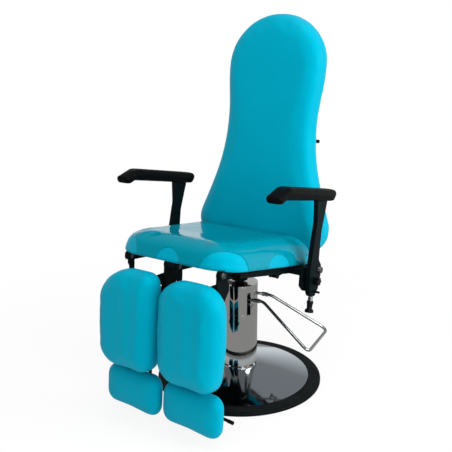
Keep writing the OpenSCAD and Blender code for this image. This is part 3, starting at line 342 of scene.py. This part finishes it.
# The pedal
# One round bar bent into a loop and chromed, with grey ferrules where it enters its yoke.
ferrule_grey = finish("ferrule_grey", 1.0, [(handling, {"Polish": 0.3, "Dulling": 0.15})],
                      (0.33, 0.35, 0.36), bump=0.0001)
# The bar's chrome colour is darkened to a mid grey: a painted reflection of the darker
# surroundings it mirrors
pedal_chrome_painted_reflection = finish("pedal_chrome_painted_reflection", 1.0, [(handling, {"Polish": 0.15, "Dulling": 0.1})],
                      (0.36, 0.37, 0.37))
dress("pedal_bar", pedal_chrome_painted_reflection)
dress("pedal_ferrules", ferrule_grey, plate_bevel)
dress("pedal_yoke", machined, plate_bevel)

# The frame under the seat
# Welded steel tube and plate with a satin black powder coat, carried by a hub on the spindle.
welded_bevel = 0.0007
board_bevel = 0.0008
for node in ("swivel_hub", "side_rails", "cross_tubes", "leg_brackets", "spring_clevises",
             "arm_mounts"):
    dress(node, frame_black, welded_bevel)
plug_black = finish("plug_plastic", 0.0, [
    (sprayed, {"Ripple Scale": 1500.0, "Sheen": 0.45, "Bloom": 0.1}),
    (dusty, {"Clean": (0.005, 0.006, 0.007, 1), "Dust": (0.06, 0.06, 0.06, 1), "Amount": 0.08}),
], bump=0.0001, Specular_IOR_Level=0.1)
dress("rail_plugs", plug_black, board_bevel)
blackened = finish("blackened_steel", 1.0, [(handling, {"Polish": 0.3, "Dulling": 0.15})],
                   (0.12, 0.13, 0.14), bump=0.0001)
for node in ("leg_pivot_pins", "back_pivot_shaft", "arm_pivot_bolts"):
    dress(node, blackened, turned_bevel)
board_black = finish("board_black", 0.0, [
    (sprayed, {"Ripple Scale": 420.0, "Sheen": 0.55, "Bloom": 0.15}),
    (dusty, {"Clean": (0.004, 0.0045, 0.0055, 1), "Dust": (0.03, 0.03, 0.03, 1), "Amount": 0.06}),
], bump=0.0002, Specular_IOR_Level=0.1)
dress("seat_board", board_black, board_bevel)

# The seat cushion
# Foam on a board, under one skin of turquoise vinyl that is pulled tight over the rounded edges
# and stapled under the board. A clear vinyl cover with cut-outs at its hem protects it.
seat_tilt = math.radians(10)
seat_place = Vector((0, -0.409, 0.558))
seat_depth = 0.488
seat_front_width = 0.460
seat_back_width = 0.518
seat_thick = 0.078
seat_corner = 0.105
seat_edge = 0.050
seat_edge_lean = 1.1
seat_rear_corner = 0.7 * seat_edge
seat_low_edge = 0.005
seat_lip = 0.006
seat_swell = 0.006
# The fall at the front edge, the rise between two distances from it, and the worn hollow with
# its half width and its two ends, each from where it begins to where it is full
seat_fall, fall_end = 0.009, 0.55 * seat_depth
seat_rise, rise_from, rise_to = 0.009, 0.15, 0.45
seat_hollow, hollow_half = 0.003, 0.24
hollow_front, hollow_rear = (0.05, 0.2), (0.48, 0.3)


def rounded(corners, steps=10):
    """An outline from corners (x, y, radius), each rounded by an arc."""
    points = []
    for i, (x, y, radius) in enumerate(corners):
        here = Vector((x, y))
        before = (Vector(corners[i - 1][:2]) - here).normalized()
        after = (Vector(corners[(i + 1) % len(corners)][:2]) - here).normalized()
        half = before.angle(after) / 2
        straight = half > math.radians(89.5)
        if radius == 0 or straight:
            points.append(here)
            continue
        middle = here + (before + after).normalized() * radius / math.sin(half)
        start = here + before * radius / math.tan(half) - middle
        swing = -(math.pi - 2 * half) * math.copysign(1, before.x * after.y - before.y * after.x)
        points += [middle + Matrix.Rotation(swing * k / steps, 2) @ start
                   for k in range(steps + 1)]
    return points


def moved_in(outline, depth):
    """An anticlockwise outline moved inwards."""
    count = len(outline)
    result = []
    for i, point in enumerate(outline):
        a = (point - outline[i - 1]).normalized()
        b = (outline[(i + 1) % count] - point).normalized()
        mitre = Vector((-a.y - b.y, a.x + b.x))
        result.append(point + mitre * depth * 2 / mitre.length_squared)
    return result


def spaced(outline, spacing):
    """An outline with points added along its long stretches."""
    points = []
    for i, point in enumerate(outline):
        after = outline[(i + 1) % len(outline)]
        parts = max(1, round((after - point).length / spacing))
        points += [point.lerp(after, k / parts) for k in range(parts)]
    return points


def pad_levels(thick, edge, back_edge, lean=1.0, steps=8):
    """The (inset, height) levels of a pad: a rounded back edge, a side, and a rounded face edge
    that may reach further in than down."""
    angles = [math.pi / 2 * k / steps for k in range(steps + 1)]
    back = [(back_edge * (1 - math.sin(a)), back_edge * (1 - math.cos(a))) for a in angles]
    face = [(lean * edge * (1 - math.cos(a)), thick - edge + edge * math.sin(a))
            for a in angles]
    return back + face


def keep(piece):
    """Makes what the modifiers do part of the mesh."""
    graph = bpy.context.evaluated_depsgraph_get()
    mesh = bpy.data.meshes.new_from_object(piece.evaluated_get(graph))
    old = piece.data
    piece.modifiers.clear()
    piece.data = mesh
    bpy.data.meshes.remove(old)


def smoothed(piece, rounds):
    """Evens a mesh out, round by round."""
    even = piece.modifiers.new("even", "SMOOTH")
    even.factor = 0.5
    even.iterations = rounds
    keep(piece)


# What blows the pads up: the pressure on the cloth, its steps, and the rounds of evening before
# and after
pad_air = 4.0
cloth_steps = 20
cloth_quality = 5
rounds_before, rounds_after = 4, 12


def stuffed(name, outline, levels, form=None, *, swell, grid=0.006, board=0.012):
    """A pad in its own flat frame. Its skin is remeshed to an even grid, blown up as cloth over
    foam by no more than its swell while its underside is held by its board, evened out, and
    given its form."""
    skin = bmesh.new()
    rings = [[skin.verts.new((p.x, p.y, height)) for p in moved_in(outline, inset)]
             for inset, height in levels]
    for low, high in zip(rings, rings[1:]):
        for i in range(len(low)):
            k = (i + 1) % len(low)
            skin.faces.new((low[i], low[k], high[k], high[i]))
    skin.faces.new(list(reversed(rings[0])))
    skin.faces.new(rings[-1])
    skin.normal_update()
    mesh = bpy.data.meshes.new(name)
    skin.to_mesh(mesh)
    skin.free()
    piece = bpy.data.objects.new(name, mesh)
    bpy.context.collection.objects.link(piece)
    remesh = piece.modifiers.new("even_grid", "REMESH")
    remesh.mode = "VOXEL"
    remesh.voxel_size = grid
    keep(piece)
    smoothed(piece, rounds_before)
    start = [v.co.copy() for v in piece.data.vertices]
    held = piece.vertex_groups.new(name="held")
    foot = min(p.z for p in start)
    # Fully held up to half the board's height, and free from one and a half times it
    for i, p in enumerate(start):
        held.add([i], max(0.0, min(1.0, 1.5 - (p.z - foot) / board)), "REPLACE")
    cloth = piece.modifiers.new("cloth", "CLOTH")
    cloth.settings.quality = cloth_quality
    cloth.settings.use_pressure = True
    cloth.settings.uniform_pressure_force = pad_air
    cloth.settings.effector_weights.gravity = 0
    cloth.settings.vertex_group_mass = "held"
    cloth.point_cache.frame_start = 1
    cloth.point_cache.frame_end = cloth_steps
    for step in range(1, cloth_steps + 1):
        bpy.context.scene.frame_set(step)
    keep(piece)
    bpy.context.scene.frame_set(1)
    for p, vertex in zip(start, piece.data.vertices):
        move = vertex.co - p
        if move.length > 1e-6:
            vertex.co = p + move.normalized() * swell * math.tanh(move.length / swell)
    piece.vertex_groups.clear()
    smoothed(piece, rounds_after)
    # Evening takes a little off all round, so the pad is brought back to its size, with half its
    # swell on top
    sizes = [[p[0] for p in outline], [p[1] for p in outline], [level[1] for level in levels]]
    spans = []
    for axis, (wanted, more) in enumerate(zip(sizes, (0, 0, swell / 2))):
        now = [v.co[axis] for v in piece.data.vertices]
        spans.append((min(now), max(now), min(wanted), max(wanted) + more))
    for vertex in piece.data.vertices:
        for axis, (low, high, wanted_low, wanted_high) in enumerate(spans):
            share = (vertex.co[axis] - low) / (high - low)
            vertex.co[axis] = wanted_low + share * (wanted_high - wanted_low)
    if form:
        for vertex in piece.data.vertices:
            vertex.co = form(vertex.co)
    return piece


def upholster(piece, place, made, rounder=1):
    """Puts a finished pad in its place, covers it, and subdivides it."""
    piece.data.transform(place)
    piece.data.materials.append(made)
    piece.data.polygons.foreach_set("use_smooth", [True] * len(piece.data.polygons))
    if rounder:
        soft = piece.modifiers.new("soft", "SUBSURF")
        soft.levels = soft.render_levels = rounder


def ease(low, high, value):
    """A smooth step from 0 at low to 1 at high."""
    t = min(1.0, max(0.0, (value - low) / (high - low)))
    return t * t * (3 - 2 * t)


# Vinyl: a fine pebbled grain, slow changes of tone, and a sheen that varies with handling
vinyl_skin, inside, outside = effect("vinyl_skin", {
    "Tint": (0.0, 0.335, 0.475, 1), "Shade": (0.0, 0.31, 0.445, 1), "Grain Scale": 900.0,
    "Sheen": 0.4, "Wear": 0.1,
}, {"Color": "Color", "Roughness": "Float", "Height": "Float"})
here = put(vinyl_skin, "ShaderNodeTexCoord").outputs["Object"]
tone = spread(vinyl_skin, noise(vinyl_skin, here, 5.0, 3), 0.3, 0.7)
mottle = spread(vinyl_skin, noise(vinyl_skin, here, 60.0, 4), 0.3, 0.7, 0.0, 0.25)
amount = put(vinyl_skin, "ShaderNodeMath", {0: tone, 1: 0.6, 2: mottle},
             operation="MULTIPLY_ADD", use_clamp=True).outputs[0]
mixed = put(vinyl_skin, "ShaderNodeMix", {"Factor": amount, 6: inside["Tint"], 7: inside["Shade"]},
            data_type="RGBA").outputs[2]
cells = put(vinyl_skin, "ShaderNodeTexVoronoi", {"Vector": here, "Scale": inside["Grain Scale"]},
            feature="SMOOTH_F1").outputs["Distance"]
pores = noise(vinyl_skin, here, 2600.0, 2)
height = put(vinyl_skin, "ShaderNodeMath", {0: pores, 1: 0.3, 2: cells},
             operation="MULTIPLY_ADD").outputs[0]
rubbed = spread(vinyl_skin, noise(vinyl_skin, here, 11.0, 5, 0.6, 0.3), 0.4, 0.75)
dull = put(vinyl_skin, "ShaderNodeMath", {0: rubbed, 1: inside["Wear"], 2: inside["Sheen"]},
           operation="MULTIPLY_ADD").outputs[0]
vinyl_skin.links.new(mixed, outside["Color"])
vinyl_skin.links.new(dull, outside["Roughness"])
vinyl_skin.links.new(height, outside["Height"])
vinyl = finish("turquoise_vinyl", 0.0, [(vinyl_skin, {})], bump=0.00012, Specular_IOR_Level=0.12,
               Specular_Tint=(0.0, 0.85, 1.0, 1))

seat_frame = Matrix.Translation(seat_place) @ Matrix.Rotation(-seat_tilt, 4, "X")
seat_spacing = 0.02
seat_outline = spaced(rounded([
    (seat_front_width / 2, 0, seat_corner),
    (seat_back_width / 2, seat_depth, seat_rear_corner),
    (-seat_back_width / 2, seat_depth, seat_rear_corner),
    (-seat_front_width / 2, 0, seat_corner),
]), seat_spacing)


def seat_form(point):
    """The top rises to the back, falls towards the front edge, and is worn a little hollow."""
    up = max(0.0, point.z) / seat_thick
    rise = seat_rise * ease(rise_from, rise_to, point.y)
    fall = seat_fall * max(0.0, 1 - point.y / fall_end) ** 2
    hollow = (seat_hollow * ease(hollow_half, 0.0, abs(point.x))
              * ease(*hollow_front, point.y) * ease(*hollow_rear, point.y))
    return Vector((point.x, point.y, point.z + up * (rise - fall - hollow)))


seat_pad = stuffed("seat_pad", seat_outline, [
    (inset, height - seat_lip) for inset, height in
    pad_levels(seat_thick + seat_lip - seat_swell / 2, seat_edge, seat_low_edge, seat_edge_lean)
], seat_form, swell=seat_swell)
cover_mesh = seat_pad.data.copy()
upholster(seat_pad, seat_frame, vinyl)
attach(seat_pad, "seat")
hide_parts("seat_cushion")

# The clear cover is cut from the cushion's own skin, lifted off it, and given its thickness.
# Its cut-outs have a radius each, and a stretch up or along.
cover_foot = -0.002
cover_lift = 0.0005
cover_thick = 0.0010
corner_cut = 0.104
corner_cut_tall = 0.75
side_cut = 0.046
side_cut_long = 1.36
side_cut_at = 0.56 * seat_depth
cut_rounds = 12
vertex_near = 0.02


def cover_cut(p):
    """How far a point lies outside the cover's cut-outs and above its hem. The cuts are round
    the two front corners, in the middle of the front, and in the middle of each side."""
    away = [p.z - cover_foot]
    low = p.z + seat_lip
    for side in (-1, 1):
        x, y = p.x - side * seat_front_width / 2, p.y
        across, along = (x + side * y) / math.sqrt(2), (y - side * x) / math.sqrt(2)
        away.append(math.hypot(across, along, low / corner_cut_tall) - corner_cut)
    away.append(math.hypot(p.x, low) - side_cut if p.y < seat_depth / 4 else 1.0)
    if abs(p.x) > seat_front_width / 4:
        away.append(math.hypot((p.y - side_cut_at) / side_cut_long, low) - side_cut)
    away.append(max(p.z - (seat_thick - seat_edge), seat_depth - seat_edge - p.y))
    return min(away)


shell = bmesh.new()
shell.from_mesh(cover_mesh)
shell.normal_update()
for vertex in shell.verts:
    vertex.co += vertex.normal * cover_lift
level = {v: cover_cut(v.co) for v in shell.verts}
# Every edge that crosses the cut gets a point on it, unless one of its ends is near enough
crossed = []
for edge in list(shell.edges):
    a, b = edge.verts
    if level[a] * level[b] < 0:
        low, high = 0.0, 1.0
        for _ in range(cut_rounds):
            middle = (low + high) / 2
            if cover_cut(a.co.lerp(b.co, middle)) * level[a] > 0:
                low = middle
            else:
                high = middle
        if vertex_near < low < 1 - vertex_near:
            _, point = bmesh.utils.edge_split(edge, a, low)
        else:
            point = a if low <= vertex_near else b
        level[point] = 0.0
        crossed.append(point)
bmesh.ops.connect_verts(shell, verts=list(set(crossed)))
outer = [f for f in shell.faces if sum(level[v] for v in f.verts) < 0]
bmesh.ops.delete(shell, geom=outer, context="FACES")
shell.to_mesh(cover_mesh)
shell.free()
cover_mesh.name = "clear_cover"
clear_cover = bpy.data.objects.new("clear_cover", cover_mesh)
bpy.context.collection.objects.link(clear_cover)
film = clear_cover.modifiers.new("film", "SOLIDIFY")
film.thickness = cover_thick
film.offset = 1

# Clear film: it lies in slow waves, and hands have left a faint haze on it
waving, inside, outside = effect("film_waves", {"Wave Scale": 16.0, "Haze": 0.03}, {
    "Roughness": "Float", "Height": "Float"})
here = put(waving, "ShaderNodeTexCoord").outputs["Object"]
haze = spread(waving, noise(waving, here, 12.0, 4), 0.4, 0.7)
dull = put(waving, "ShaderNodeMath", {0: haze, 1: inside["Haze"], 2: 0.02},
           operation="MULTIPLY_ADD").outputs[0]
waving.links.new(dull, outside["Roughness"])
waving.links.new(noise(waving, here, inside["Wave Scale"], 2, 0.5, 0.2), outside["Height"])
clear_pvc = finish("clear_pvc", 0.0, [(waving, {})], (0.0, 0.28, 0.38), bump=0.0016,
                   Alpha=0.75, IOR=1.55, Specular_Tint=(0.0, 0.5, 0.6, 1))
upholster(clear_cover, seat_frame, clear_pvc, 0)
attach(clear_cover, "seat")
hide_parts("seat_cover")

# The backrest
# A tall waisted cushion on a board. Behind it, two uprights and two bars are welded to plates
# that hinge on the seat's rear shaft, and a bar between two ears frees the gas spring.
back_lean = math.radians(0.9)
back_place = Vector((0, 0.4915, 0.0195))
back_tall = 0.855
back_low_width = 0.545
back_waist_width = 0.362
back_head_width = 0.392
back_thick = 0.085
back_edge = 0.038
back_edge_lean = 0.95
back_rear_edge = 0.015
back_corner = 0.088
back_flare = math.radians(21)
back_swell = 0.006
back_spacing = 0.02
back_grid = 0.007
back_held = 0.02
back_waist = Vector((back_waist_width / 2, 0.55 * back_tall))
back_head = Vector((back_head_width / 2, 0.778 * back_tall))


def curve(start, leaving, arriving, end, steps):
    """Points on the curve from start to end that leaves and arrives towards two others."""
    points = []
    for k in range(steps):
        t = k / steps
        points.append((1 - t) ** 3 * start + 3 * t * (1 - t) ** 2 * leaving
                      + 3 * t * t * (1 - t) * arriving + t ** 3 * end)
    return points


# One side of the back, from its foot up: a round corner, a sweep in to the waist, a sweep out
# to the head, and a quarter of an ellipse over the top
corner_steps, waist_steps, neck_steps, head_steps = 16, 24, 12, 22
curve_pull = 0.4
corner_middle = Vector((back_low_width / 2 - back_corner, back_corner))
swings = [-math.pi / 2 + (math.pi / 2 + back_flare) * k / corner_steps
          for k in range(corner_steps)]
back_side = [corner_middle + back_corner * Vector((math.cos(a), math.sin(a))) for a in swings]
flare_end = corner_middle + back_corner * Vector((math.cos(back_flare), math.sin(back_flare)))
flare_way = Vector((-math.sin(back_flare), math.cos(back_flare)))
low_pull = curve_pull * (back_waist.y - flare_end.y)
high_pull = curve_pull * (back_head.y - back_waist.y)
head_tall = back_tall - back_head.y
back_side += curve(flare_end, flare_end + low_pull * flare_way,
                   back_waist - Vector((0, low_pull)), back_waist, waist_steps)
back_side += curve(back_waist, back_waist + Vector((0, high_pull)),
                   back_head - Vector((0, high_pull)), back_head, neck_steps)
back_side += [Vector((back_head.x * math.cos(a), back_head.y + head_tall * math.sin(a)))
              for a in (math.pi / 2 * k / head_steps for k in range(head_steps))]
back_outline = back_side + [Vector((0, back_tall))]
back_outline += [Vector((-p.x, p.y)) for p in reversed(back_side)]
facing = Matrix.Rotation(math.pi / 2, 4, "X")
back_frame = seat_frame @ Matrix.Translation(back_place) @ Matrix.Rotation(back_lean, 4, "X")
back_pad = stuffed("back_pad", spaced(back_outline, back_spacing),
                   pad_levels(back_thick - back_swell / 2, back_edge, back_rear_edge,
                              back_edge_lean),
                   grid=back_grid, swell=back_swell, board=back_held)
upholster(back_pad, back_frame @ Matrix.Translation((0, back_thick, 0)) @ facing, vinyl)
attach(back_pad, "backrest")
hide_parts("back_cushion")

dress("back_board", board_black, board_bevel)
for node in ("back_uprights", "back_cross_bars", "back_hinge_plates", "release_bar"):
    dress(node, frame_black, welded_bevel)

# The armrests
# A blade of black-coated steel on a bolt, with a moulded pad of black foam on top, and below it
# a star knob and a spring plunger with a zinc stem and a black pull grip that lock it upright.
arm_x = 0.302
arm_front, arm_rear = 0.086, 0.475
arm_low = 0.225
arm_thick = 0.040
arm_wide = 0.056
arm_edge = 0.012
arm_spacing = 0.012
arm_grid = 0.0025
arm_swell = 0.001
arm_held = 0.001
nose_long = 0.064
nose_drop = 0.013
seam_deep = 0.0008
seam_wide = 0.0016
seam_height = 0.3 * arm_thick
seam_from, seam_full = 0.7, 0.95
blade_bevel = 0.0012
grip_top = -0.1165
pad_black = finish("armrest_skin", 0.0, [
    (vinyl_skin, {"Tint": (0.0015, 0.002, 0.0025, 1), "Shade": (0.0025, 0.0026, 0.0025, 1),
                  "Grain Scale": 1100.0, "Sheen": 0.42, "Wear": 0.12}),
], bump=0.0001, Specular_IOR_Level=0.035)
grip_black = finish("grip_plastic", 0.0, [
    (sprayed, {"Ripple Scale": 1500.0, "Sheen": 0.4, "Bloom": 0.12}),
    (dusty, {"Clean": (0.002, 0.003, 0.004, 1), "Dust": (0.03, 0.03, 0.03, 1), "Amount": 0.05}),
], bump=0.0001, Specular_IOR_Level=0.15)
# The pad from its side, as (along, up, radius): a nose that hangs down in front, the underside,
# the rear end, and the flat top
arm_outline = spaced(rounded([
    (arm_front + 0.14 * nose_long, arm_low - nose_drop, 0.006),
    (arm_front + 0.46 * nose_long, arm_low - nose_drop, 0.010),
    (arm_front + 0.86 * nose_long, arm_low, 0.016),
    (arm_rear - arm_thick / 3, arm_low, 0.008),
    (arm_rear, arm_low + 0.55 * arm_thick, 0.013),
    (arm_rear - arm_thick / 8, arm_low + arm_thick, 0.014),
    (arm_front + nose_long, arm_low + arm_thick, 0.030),
    (arm_front, arm_low + 0.18 * arm_thick, 0.007),
]), arm_spacing)
along_seat = Matrix(((0, 0, 1, 0), (1, 0, 0, 0), (0, 1, 0, 0), (0, 0, 0, 1)))


def arm_form(point):
    """A parting line is pressed into the pad's two sides."""
    middle = abs(point.z - arm_wide / 2) / (arm_wide / 2)
    seam = seam_deep * math.exp(-((point.y - arm_low - seam_height) / seam_wide) ** 2)
    side = 1 if point.z > arm_wide / 2 else -1
    return Vector((point.x, point.y, point.z - side * seam * ease(seam_from, seam_full, middle)))


for side, sign in (("left", 1), ("right", -1)):
    arm_pad = stuffed(side + "_arm_cushion", arm_outline,
                      pad_levels(arm_wide, arm_edge, arm_edge), arm_form,
                      grid=arm_grid, swell=arm_swell, board=arm_held)
    arm_side = Matrix.Translation((sign * arm_x - arm_wide / 2, 0, 0))
    upholster(arm_pad, seat_frame @ arm_side @ along_seat, pad_black)
    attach(arm_pad, side + "_armrest")
    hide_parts(side + "_armrest_pad")
    dress(side + "_armrest_post", frame_black, blade_bevel)
    dress(side + "_star_knob", grip_black, plate_bevel)
    # The plunger's grip is black, and its stem above the grip is zinc
    plunger = dress(side + "_lock_plunger", grip_black, rod_bevel)
    plunger.data.materials.append(zinc)
    seat_up = Vector((0, math.sin(seat_tilt), math.cos(seat_tilt)))
    for face in plunger.data.polygons:
        if (face.center - seat_place).dot(seat_up) > grip_top:
            face.material_index = 1

# The leg rests
# Each side is a frame of two plates with a calf pad on its board, and below it a foot pad
# on two rods that slides out when its small lever is lifted.
leg_pivot = Vector((0, 0.025, -0.015))
leg_lean = math.radians(5)
pad_pitch = 0.243
pad_edge = 0.036
pad_low_edge = pad_edge / 3
pad_swell = 0.005
pad_grid = 0.005
pad_spacing = 0.015
calf_tall = 0.332
calf_thick = 0.075
calf_drop = 0.032
calf_rise = 0.005
calf_rear = -0.017
# The calf pads' sides have points at these shares of their height, and bulge most at half of it
calf_shares = (0.35, 0.43, 0.5, 0.57, 0.64)
calf_bulge = 0.015
# The calf pads' sides from their middle, and the radii of their corners, each with the side
# at the lower x first
calf_spread = {"left": (-0.124, 0.121), "right": (-0.128, 0.114)}
calf_corners = {"left": (0.072, 0.066), "right": (0.108, 0.030)}
calf_low_corners = (0.068, 0.046)
# The rolls of foam on a calf pad, as (place, half width, height), and where they fade out
calf_rolls = ((0.006, 0.020, 0.0032), (0.066, 0.018, 0.0024))
roll_fade = 0.10
roll_from, roll_full = 0.6 * calf_thick, 0.95 * calf_thick
foot_gap = 0.008
foot_width = 0.228
foot_tall = 0.134
foot_thick = 0.047
foot_corner = 0.040
foot_edge = 0.85 * pad_edge
foot_edge_lean = 1.15
foot_rear = -0.002
foot_sag, sag_from, sag_full, sag_tall = 0.006, -0.03, 0.08, 0.08


def calf_form(point):
    """Under the vinyl, two shallow rolls of foam run down the pad, one beside its middle."""
    face = ease(roll_from, roll_full, point.z)
    ends = ease(0.0, roll_fade, point.y) * ease(calf_tall, calf_tall - roll_fade, point.y)
    rolls = sum(high * math.exp(-((point.x - place) / wide) ** 2)
                for place, wide, high in calf_rolls)
    return Vector((point.x, point.y, point.z + face * ends * rolls))


def foot_form(point):
    """The lower edge sags a little towards one end, where the foam is fuller."""
    sag = foot_sag * ease(sag_from, sag_full, point.x) * ease(sag_tall, 0.0, point.y)
    return Vector((point.x, point.y - sag, point.z))


foot_outline = spaced(rounded([
    (-foot_width / 2, 0, foot_corner), (foot_width / 2, 0, foot_corner),
    (foot_width / 2, foot_tall, foot_corner), (-foot_width / 2, foot_tall, foot_corner),
]), pad_spacing)
legs_frame = seat_frame @ Matrix.Translation(leg_pivot) @ Matrix.Rotation(
    seat_tilt - leg_lean, 4, "X")
calf_low = -calf_drop - calf_tall
foot_low = calf_low - foot_gap - foot_tall
top = calf_tall + calf_rise
for side, sign in (("left", 1), ("right", -1)):
    low_x, high_x = (x - math.copysign(calf_bulge, x) for x in calf_spread[side])
    low_corner, high_corner = calf_corners[side]
    corners = [(low_x, 0, calf_low_corners[0]), (high_x, 0, calf_low_corners[1])]
    corners += [(high_x, top * t, 0) for t in calf_shares]
    corners += [(high_x, top, high_corner), (low_x, top, low_corner)]
    corners += [(low_x, top * t, 0) for t in reversed(calf_shares)]
    calf_outline = [Vector((p.x + p.x / high_x * calf_bulge * (1 - (2 * p.y / top - 1) ** 2), p.y))
                    for p in spaced(rounded(corners), pad_spacing)]
    leg_frame = legs_frame @ Matrix.Translation((sign * pad_pitch / 2, 0, 0))
    calf_pad = stuffed(side + "_calf_cushion", calf_outline,
                       pad_levels(calf_thick - pad_swell / 2, pad_edge, pad_low_edge),
                       calf_form, grid=pad_grid, swell=pad_swell)
    calf_place = Matrix.Translation((0, calf_rear, calf_low))
    upholster(calf_pad, leg_frame @ calf_place @ facing, vinyl)
    foot_pad = stuffed(side + "_foot_cushion", foot_outline,
                       pad_levels(foot_thick - pad_swell / 2, foot_edge, pad_low_edge,
                                  foot_edge_lean),
                       foot_form, grid=pad_grid, swell=pad_swell)
    foot_place = Matrix.Translation((0, foot_rear, foot_low))
    upholster(foot_pad, leg_frame @ foot_place @ facing, vinyl)
    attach(calf_pad, side + "_leg")
    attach(foot_pad, side + "_foot")
    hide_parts(side + "_calf_pad")
    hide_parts(side + "_foot_pad")
    dress(side + "_leg_frame", frame_black, welded_bevel)
    dress(side + "_foot_carriage", frame_black, welded_bevel)
    dress(side + "_foot_lever", grip_black, plate_bevel)

# The gas springs
# Black cylinders with bright rods, one to the backrest and one to each leg rest.
for name in ("back_gas", "left_leg_gas", "right_leg_gas"):
    dress(name + "_cylinder", frame_black, turned_bevel)
    dress(name + "_rod", chrome, rod_bevel)
